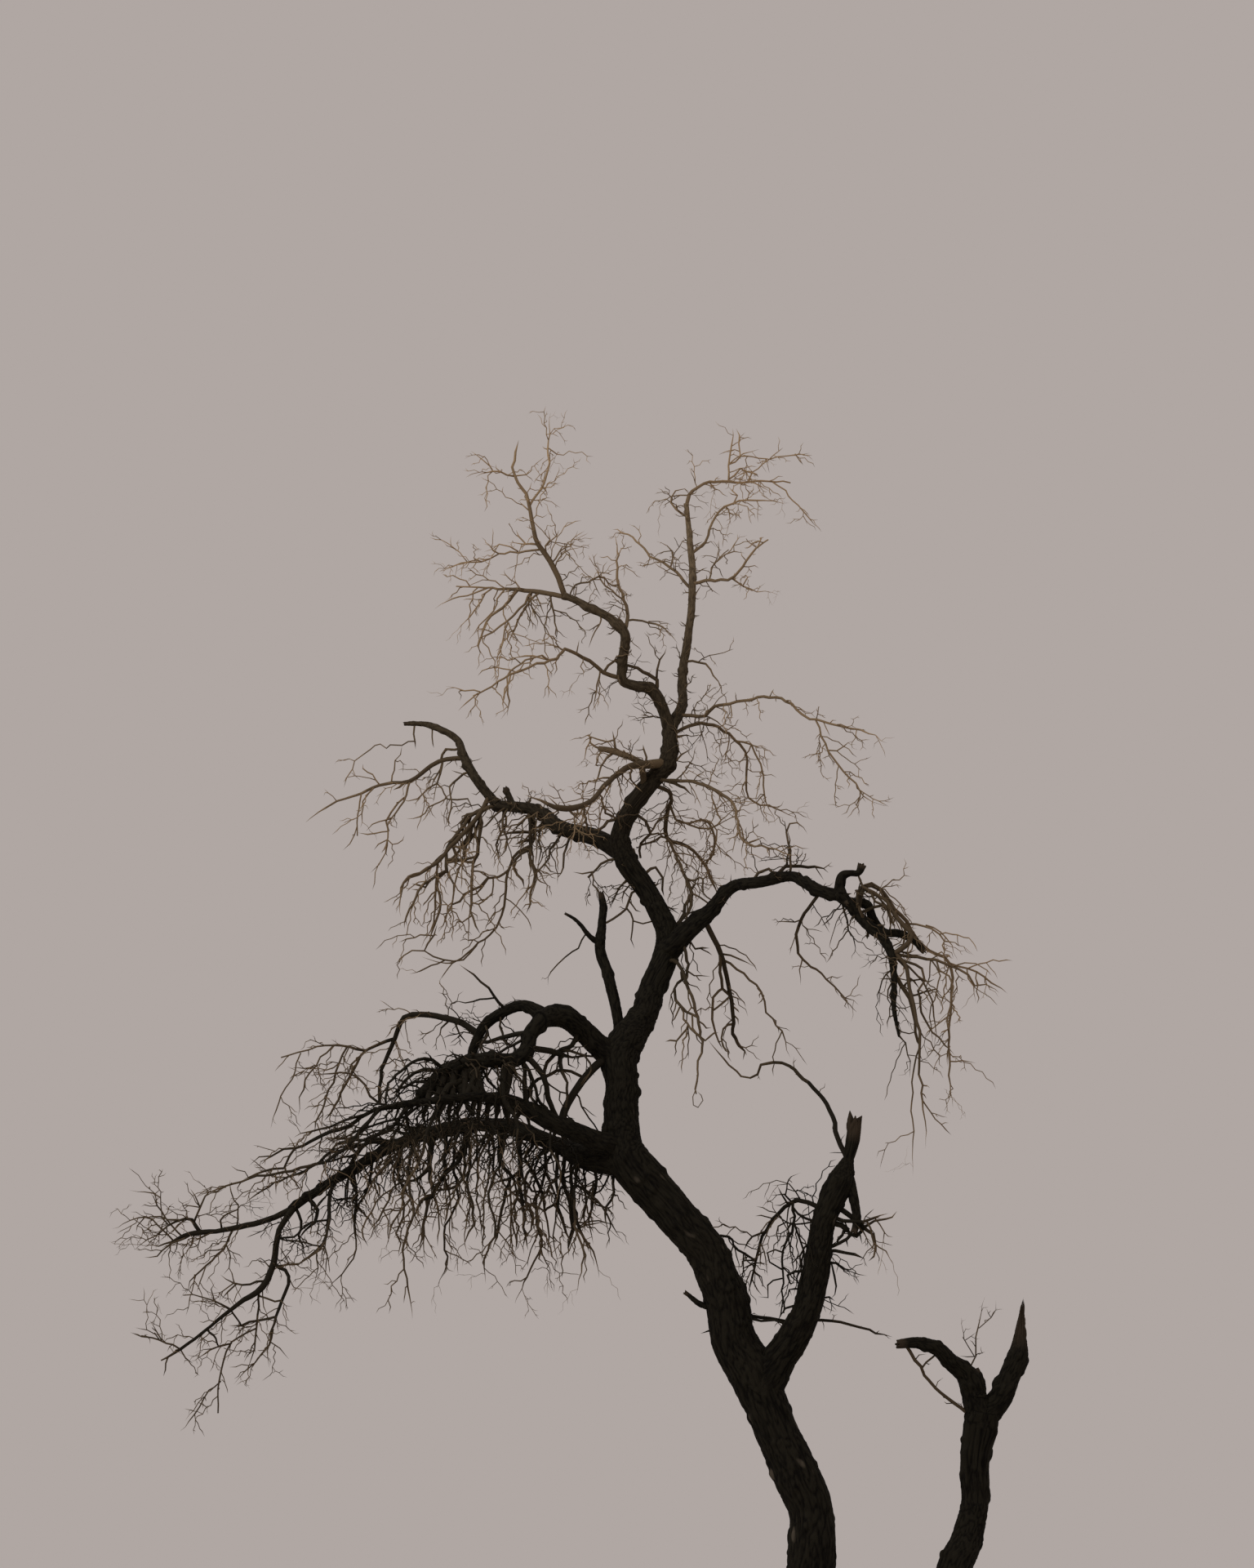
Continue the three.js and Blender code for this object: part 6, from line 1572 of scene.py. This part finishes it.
def relief(along, angle, radius, lump, depth):
    """How far the bark stands out, and how high that is between furrow and ridge, from 0 to 1."""
    width = PLATE_WIDTH * (NARROW_PLATES + (1 - NARROW_PLATES) * min(1.0, radius / THICK_RADIUS))
    stretch = width * PLATE_LENGTH / PLATE_WIDTH
    across = (math.cos(angle) * radius / width, math.sin(angle) * radius / width)
    place = Vector((*across, along / stretch))
    coarse = min(1.0, abs(noise.noise(place)) * COARSE_GAIN)
    fine = min(1.0, abs(noise.noise(place * FINE_SCALE + FINE_SHIFT)) * FINE_GAIN)
    height = COARSE_SHARE * coarse + FINE_SHARE * fine
    return lump * LUMP_SHARE * radius + depth * (height - SKIN_LEVEL), height


def flare(angle, height):
    """The trunk's swelling into its roots."""
    spread_out = FLARE_SHARE * math.exp(-max(height, 0.0) / FLARE_HEIGHT)
    return 1 + spread_out * (1 + FLARE_LOBE_DEPTH * math.cos(FLARE_LOBES * angle))


def limb_mesh(line, step, depth, swell=None, torn=0.0, rooted=True):
    """One limb as a closed mesh: a flat grid wrapped round its line, and welded."""
    dense = line.smoothed(step)
    rings = len(dense.points)
    widest = max(dense.radii)
    sides = max(FEWEST_LIMB_SIDES, round(math.tau * widest / step))
    length = dense.lengths[-1]
    bm = bmesh.new()
    place_layer = bm.verts.layers.float_vector.new("bark_place")
    height_layer = bm.verts.layers.float.new("bark_height")
    torn_layer = bm.verts.layers.float.new("torn")
    grid = bmesh.ops.create_grid(bm, x_segments=sides, y_segments=rings - 1, size=0.5)
    collar_length = max(COLLAR_LENGTH * dense.radii[0], WELD)
    for vert in grid["verts"]:
        column = round((vert.co.x + 0.5) * sides) % sides
        ring = round((vert.co.y + 0.5) * (rings - 1))
        angle = math.tau * column / sides
        radius = dense.radii[ring]
        along = dense.lengths[ring]
        crook = noise.noise_vector(dense.points[ring] * CROOK_SCALE) * CROOK_SHARE
        crook = crook * min(radius, CROOKED_RADIUS) * min(1.0, along / collar_length)
        centre = dense.points[ring] + crook
        one, other = dense.frames[ring]
        outward = one * math.sin(angle) + other * math.cos(angle)
        swollen = radius * (swell(angle, centre.z) if swell else 1.0)
        if rooted:
            swollen *= 1 + COLLAR * math.exp(-along / collar_length)
        skin = centre + outward * radius
        knob = max(0.0, noise.noise(skin * KNOB_SCALE) - KNOBS_ABOVE) * KNOB_SHARE * min(radius, KNOB_WIDEST)
        lump = noise.noise(skin * LUMP_SCALE)
        furrows = depth * min(1.0, SHALLOW_FURROWS + (1 - SHALLOW_FURROWS) * radius / THICK_RADIUS)
        out, height = relief(along, angle, radius, lump, furrows)
        break_share = max(0.0, 1 - (length - along) / torn) if torn else 0.0
        jag = 0.0
        if break_share > 0:
            around = (math.cos(angle) * SPLINTER_SCALE, math.sin(angle) * SPLINTER_SCALE)
            splinter = noise.noise(Vector((*around, centre.z * SPLINTER_STRETCH)))
            jag = (splinter - SPLINTER_LEVEL) * torn * SPLINTERED * break_share
        vert.co = centre + outward * max(LEAST_RADIUS, swollen + out + knob) + dense.headings[ring] * jag
        vert[place_layer] = Vector((math.cos(angle) * widest, math.sin(angle) * widest, along))
        vert[height_layer] = height
        vert[torn_layer] = min(1.0, break_share * TORN_SPREAD)
    bmesh.ops.remove_doubles(bm, verts=bm.verts[:], dist=WELD)
    rims = [edge for edge in bm.edges if edge.is_boundary]
    caps = bmesh.ops.edgeloop_fill(bm, edges=rims)["faces"]
    bmesh.ops.poke(bm, faces=caps)
    bmesh.ops.recalc_face_normals(bm, faces=bm.faces[:])
    return bm


def cut_at_ground(bm):
    """The flat cut under the trunk."""
    geometry = [*bm.verts, *bm.edges, *bm.faces]
    cut = bmesh.ops.bisect_plane(
        bm, geom=geometry, plane_co=(0, 0, 0), plane_no=(0, 0, 1), clear_inner=True
    )
    rim = [item for item in cut["geom_cut"] if isinstance(item, bmesh.types.BMEdge)]
    bmesh.ops.edgeloop_fill(bm, edges=rim)


def linked(name, bm):
    """A new object from a bmesh, at the origin."""
    mesh = bpy.data.meshes.new(name)
    bm.to_mesh(mesh)
    bm.free()
    obj = bpy.data.objects.new(name, mesh)
    bpy.context.scene.collection.objects.link(obj)
    return obj


def fused(obj, others):
    """One mesh from several closed ones that run into each other."""
    for other in others:
        join = obj.modifiers.new("join", "BOOLEAN")
        join.operation = "UNION"
        join.solver = "MANIFOLD"
        join.object = other
    bpy.context.view_layer.update()
    graph = bpy.context.evaluated_depsgraph_get()
    made = bpy.data.meshes.new_from_object(obj.evaluated_get(graph))
    obj.modifiers.clear()
    obj.data = made
    for other in others:
        bpy.data.objects.remove(other)
    return obj


def build_bark(context, piece, limbs):
    """The wood of some limbs as one piece, in place of their solids."""
    noise.seed_set(CROOK_SEED)
    settings = context.scene.winter_tree_bark
    step = settings.mesh_step * 1.0
    depth = settings.furrow_depth
    parts = []
    for name in limbs:
        line = limb_line(name)
        row, *stubs = rows_of(LIMBS[name].rows)
        torn = LIMBS[name].torn
        if row.on in LIMBS:
            bm = limb_mesh(line, step * LIMB_STEP, depth, torn=torn)
        else:
            bm = limb_mesh(line, step, depth, swell=flare, torn=torn, rooted=False)
            cut_at_ground(bm)
        parts.append(linked(name + "_part", bm))
        for number, stub in enumerate(stubs):
            bm = limb_mesh(bends_of(line, stub), step * STUB_STEP, depth, torn=STUB_TORN)
            parts.append(linked(f"{name}_stub_{number + 1}_part", bm))
    obj = fused(parts[0], parts[1:])
    obj.name = piece
    obj.data.name = piece
    obj.data.materials.clear()
    obj.data.materials.append(bark_material())
    obj.data.shade_smooth()
    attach(obj, "root")
    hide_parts(*limbs)


def build_twigs(context, piece, masses, shoots, fullness):
    """The twigs of some masses as one piece, in place of their solids."""
    spray = Spray(reach_of(masses), context.scene.winter_tree_twigs.density * fullness)
    for name in masses:
        spray.grow_mass(name)
    for *place, habit, kind in shoots:
        spray.grow_shoots(*place, habit, FINER[kind])
    obj = spray.made(piece, twig_materials())
    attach(obj, "root")
    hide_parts(*masses)


class BarkOperator:
    """What each bark operator does."""

    bl_options = {"REGISTER", "UNDO"}

    def execute(self, context):
        build_bark(context, self.piece, self.limbs)
        return {"FINISHED"}


class TREE_OT_trunk(BarkOperator, bpy.types.Operator):
    """Model the crooked trunk with its root flare and furrowed bark"""

    bl_idname = "winter_tree.trunk"
    bl_label = "Trunk"
    piece = "trunk_bark"
    limbs = ("trunk",)


class TREE_OT_second_stem(BarkOperator, bpy.types.Operator):
    """Model the second stem with its splintered spike and its torn arm"""

    bl_idname = "winter_tree.second_stem"
    bl_label = "Second stem"
    piece = "second_stem_bark"
    limbs = ("second_stem", "second_stem_spike", "second_stem_torn_arm")


class TREE_OT_snag(BarkOperator, bpy.types.Operator):
    """Model the snag with its broken top and its hanging strip of torn wood"""

    bl_idname = "winter_tree.snag"
    bl_label = "Snag"
    piece = "snag_bark"
    limbs = ("snag",)


class TREE_OT_low_boughs(BarkOperator, bpy.types.Operator):
    """Model the two low boughs on the left"""

    bl_idname = "winter_tree.low_boughs"
    bl_label = "Low boughs"
    piece = "low_boughs_bark"
    limbs = ("low_bough", "upper_low_bough")


class TREE_OT_arch(BarkOperator, bpy.types.Operator):
    """Model the arch with its branch and the knotted limb that it comes down to"""

    bl_idname = "winter_tree.arch"
    bl_label = "Arch"
    piece = "arch_bark"
    limbs = ("arch_bough", "knotted_limb", "arch_branch")


class TREE_OT_dead_stub(BarkOperator, bpy.types.Operator):
    """Model the dead upright stub"""

    bl_idname = "winter_tree.dead_stub"
    bl_label = "Dead stub"
    piece = "dead_stub_bark"
    limbs = ("dead_stub",)


class TREE_OT_right_bough(BarkOperator, bpy.types.Operator):
    """Model the right bough as it bends over and down"""

    bl_idname = "winter_tree.right_bough"
    bl_label = "Right bough"
    piece = "right_bough_bark"
    limbs = ("right_bough", "right_bough_tip")


class TREE_OT_left_bough(BarkOperator, bpy.types.Operator):
    """Model the left bough with its broken end"""

    bl_idname = "winter_tree.left_bough"
    bl_label = "Left bough"
    piece = "left_bough_bark"
    limbs = ("left_bough", "left_bough_tip")


class TREE_OT_top_stems(BarkOperator, bpy.types.Operator):
    """Model the two stems at the top of the crown"""

    bl_idname = "winter_tree.top_stems"
    bl_label = "Top stems"
    piece = "top_stems_bark"
    limbs = ("right_top_stem", "left_top_stem")


class TwigOperator:
    """What each twig operator does."""

    bl_options = {"REGISTER", "UNDO"}
    shoots = ()
    fullness = 1.0

    def execute(self, context):
        build_twigs(context, self.piece, self.masses, self.shoots, self.fullness)
        return {"FINISHED"}


class TREE_OT_second_stem_twigs(TwigOperator, bpy.types.Operator):
    """Grow the few twigs of the second stem"""

    bl_idname = "winter_tree.second_stem_twigs"
    bl_label = "Second stem's twigs"
    piece = "second_stem_fine_twigs"
    masses = ("second_stem_loop_twigs", "second_stem_upright_twigs", "bridging_twig")


class TREE_OT_snag_twigs(TwigOperator, bpy.types.Operator):
    """Grow the twigs that hang from the snag and the one that arches off its top"""

    bl_idname = "winter_tree.snag_twigs"
    bl_label = "Snag's twigs"
    piece = "snag_fine_twigs"
    fullness = 0.8
    masses = ("snag_left_twigs", "snag_right_twigs", "snag_arching_twig")


class TREE_OT_curtain(TwigOperator, bpy.types.Operator):
    """Grow the curtain of twigs that hangs under the low bough"""

    bl_idname = "winter_tree.curtain"
    bl_label = "Curtain"
    piece = "curtain_fine_twigs"
    fullness = 0.9
    masses = tuple(f"curtain_{number}_twigs" for number in range(1, 7))
    shoots = (
        ("low_bough", 0.02, 0.60, 0.048, HANGING, WEEPING),
        ("low_bough", 0.10, 0.70, 0.060, SHORT_HANGING, WEEPING),
        ("low_bough", 0.60, 0.98, 0.040, SHORT_HANGING, WEEPING),
    )


class TREE_OT_low_ends(TwigOperator, bpy.types.Operator):
    """Grow the twigs at the ends of the two low boughs"""

    bl_idname = "winter_tree.low_ends"
    bl_label = "Low boughs' ends"
    piece = "low_end_fine_twigs"
    fullness = 0.95
    masses = ("low_left_twigs", "low_down_twigs", "upper_low_tip_twigs", "upper_low_hanging_twigs")
    shoots = (
        ("upper_low_bough", 0.55, 0.98, 0.024, SHORT_HANGING, WEEPING),
        ("upper_low_bough", 0.40, 0.98, 0.030, BRISTLING, SPURRED),
    )


class TREE_OT_arch_twigs(TwigOperator, bpy.types.Operator):
    """Grow the tangle of twigs under the arch and the knotted limb"""

    bl_idname = "winter_tree.arch_twigs"
    bl_label = "Arch's twigs"
    piece = "arch_fine_twigs"
    masses = (
        "arch_inner_twigs", "knotted_limb_twigs", "knotted_limb_end_twigs", "arch_far_twigs",
        "arch_top_twigs",
    )
    shoots = (
        ("knotted_limb", 0.35, 0.98, 0.014, SHORT_HANGING, WEEPING),
        ("knotted_limb", 0.45, 0.98, 0.010, STUBBY, SPARSE),
        ("knotted_limb", 0.10, 0.98, 0.030, BRISTLING, SPURRED),
        ("arch_branch", 0.30, 0.98, 0.040, BRISTLING, SPURRED),
        ("dead_stub", 0.30, 0.98, 0.110, BRISTLING, SPARSE),
    )


class TREE_OT_right_twigs(TwigOperator, bpy.types.Operator):
    """Grow the twigs of the right bough"""

    bl_idname = "winter_tree.right_twigs"
    bl_label = "Right bough's twigs"
    piece = "right_fine_twigs"
    fullness = 0.8
    masses = (
        "right_low_1_twigs", "right_low_2_twigs", "right_inner_twigs", "right_arching_twigs",
        "right_hanging_twigs", "right_knob_twigs",
    )
    shoots = (
        ("right_bough_tip", 0.10, 0.98, 0.030, BRISTLING, SPURRED),
        ("right_bough_tip", 0.02, 0.40, 0.030, STUBBY, SPARSE),
        ("right_bough", 0.10, 0.70, 0.080, BRISTLING, SPARSE),
        ("right_bough", 0.70, 0.98, 0.030, BRISTLING, SPARSE),
    )


class TREE_OT_left_twigs(TwigOperator, bpy.types.Operator):
    """Grow the twigs of the left bough"""

    bl_idname = "winter_tree.left_twigs"
    bl_label = "Left bough's twigs"
    piece = "left_fine_twigs"
    fullness = 0.95
    masses = ("left_far_twigs", "left_hanging_outer_twigs", "left_hanging_inner_twigs")
    shoots = (
        ("left_bough", 0.45, 0.98, 0.050, SHORT_HANGING, WEEPING),
        ("left_bough", 0.20, 0.98, 0.020, BRISTLING, SPURRED),
        ("left_bough", 0.40, 0.95, 0.040, STUBBY, SPARSE),
        ("left_bough_tip", 0.02, 0.95, 0.040, BRISTLING, SPARSE),
    )


class TREE_OT_crown_twigs(TwigOperator, bpy.types.Operator):
    """Grow the twigs off the upper trunk and the two top stems"""

    bl_idname = "winter_tree.crown_twigs"
    bl_label = "Crown's twigs"
    piece = "crown_fine_twigs"
    fullness = 1.1
    masses = (
        "trunk_right_upper_twigs", "trunk_right_lower_twigs", "crown_left_twigs",
        "crown_right_upper_twigs", "crown_right_lower_twigs", "top_left_leader_twigs",
        "top_left_side_twigs", "top_middle_twigs", "top_left_low_twigs", "top_right_tip_twigs",
        "top_right_side_twigs", "top_right_inner_twigs",
    )
    shoots = (
        ("trunk", 0.78, 0.99, 0.080, BRISTLING, SPARSE),
        ("right_top_stem", 0.05, 0.98, 0.040, BRISTLING, SPARSE),
        ("left_top_stem", 0.05, 0.98, 0.034, BRISTLING, SPURRED),
    )


# The camera stands at the eye, on the tree's own scale, and looks up at the crown
CAMERA_PITCH = math.radians(16.025)
CAMERA_YAW = math.radians(-0.01)
CAMERA_HALF_FIELD = math.radians(17)
SENSOR = 36.0
LAMP_PLACE = Vector((-7.0, -8.0, 10.0))
LAMP_AIM = Vector((-1.0, 0.0, 3.5))
LAMP_POWER = 350
LAMP_SIZE = 6
FLOOR_SIDES = 96
FLOOR_ROUGHNESS = 0.9


class TREE_OT_stage(bpy.types.Operator):
    """Set the plain floor, the soft light and the camera"""

    bl_idname = "winter_tree.stage"
    bl_label = "Stage"
    bl_options = {"REGISTER", "UNDO"}

    def execute(self, context):
        settings = context.scene.winter_tree_stage
        self.floor(settings)
        self.light(context, settings)
        self.camera(context)
        return {"FINISHED"}

    def floor(self, settings):
        bm = bmesh.new()
        bmesh.ops.create_circle(bm, cap_ends=True, segments=FLOOR_SIDES, radius=settings.floor_radius)
        obj = linked("floor", bm)
        finish = Finish("floor")
        finish.shader.inputs["Base Color"].default_value = (*settings.floor, 1)
        finish.shader.inputs["Roughness"].default_value = FLOOR_ROUGHNESS
        obj.data.materials.append(finish.material)

    def light(self, context, settings):
        world = bpy.data.worlds.new("sky")
        world.use_nodes = True
        background = world.node_tree.nodes["Background"]
        background.inputs["Color"].default_value = (*settings.sky, 1)
        background.inputs["Strength"].default_value = 1.0
        context.scene.world = world
        lamp = bpy.data.lights.new("soft_lamp", "AREA")
        lamp.energy = LAMP_POWER
        lamp.size = LAMP_SIZE
        obj = bpy.data.objects.new("soft_lamp", lamp)
        obj.location = LAMP_PLACE
        obj.rotation_euler = (LAMP_AIM - LAMP_PLACE).to_track_quat("-Z", "Y").to_euler()
        context.scene.collection.objects.link(obj)
        context.scene.view_settings.view_transform = "Standard"

    def camera(self, context):
        data = bpy.data.cameras.new("camera")
        data.sensor_width = SENSOR
        data.lens = SENSOR / 2 / math.tan(CAMERA_HALF_FIELD)
        obj = bpy.data.objects.new("camera", data)
        obj.location = EYE
        obj.rotation_euler = (math.pi / 2 + CAMERA_PITCH, 0, CAMERA_YAW)
        context.scene.collection.objects.link(obj)
        context.scene.camera = obj


PIECE_OPERATORS = (
    TREE_OT_trunk, TREE_OT_second_stem, TREE_OT_snag, TREE_OT_low_boughs, TREE_OT_arch, TREE_OT_dead_stub,
    TREE_OT_right_bough, TREE_OT_left_bough, TREE_OT_top_stems, TREE_OT_second_stem_twigs,
    TREE_OT_snag_twigs, TREE_OT_curtain, TREE_OT_low_ends, TREE_OT_arch_twigs, TREE_OT_right_twigs,
    TREE_OT_left_twigs, TREE_OT_crown_twigs,
)


class TREE_PT_panel(bpy.types.Panel):
    """Lists the sizes, the colours and the operators of the tree"""

    bl_idname = "TREE_PT_panel"
    bl_label = "Bare winter tree"
    bl_space_type = "VIEW_3D"
    bl_region_type = "UI"
    bl_category = "Tree"

    def draw(self, context):
        scene = context.scene
        for group in (scene.winter_tree_bark, scene.winter_tree_twigs, scene.winter_tree_stage):
            box = self.layout.box()
            for prop in group.bl_rna.properties:
                if prop.identifier not in {"rna_type", "name"}:
                    box.prop(group, prop.identifier)
        for operator in (TREE_OT_stage, *PIECE_OPERATORS):
            self.layout.operator(operator.bl_idname)


GROUPS = {
    "winter_tree_bark": TREE_PG_bark,
    "winter_tree_twigs": TREE_PG_twigs,
    "winter_tree_stage": TREE_PG_stage,
}


def register():
    for cls in (*GROUPS.values(), TREE_OT_stage, *PIECE_OPERATORS, TREE_PT_panel):
        bpy.utils.register_class(cls)
    for name, group in GROUPS.items():
        setattr(bpy.types.Scene, name, bpy.props.PointerProperty(type=group))


def unregister():
    for name in GROUPS:
        delattr(bpy.types.Scene, name)
    for cls in (TREE_PT_panel, *reversed(PIECE_OPERATORS), TREE_OT_stage, *GROUPS.values()):
        bpy.utils.unregister_class(cls)


def main():
    register()
    for operator in (TREE_OT_stage, *PIECE_OPERATORS):
        group, name = operator.bl_idname.split(".")
        getattr(getattr(bpy.ops, group), name)()
    bpy.context.view_layer.update()


if __name__ == "__main__":
    main()
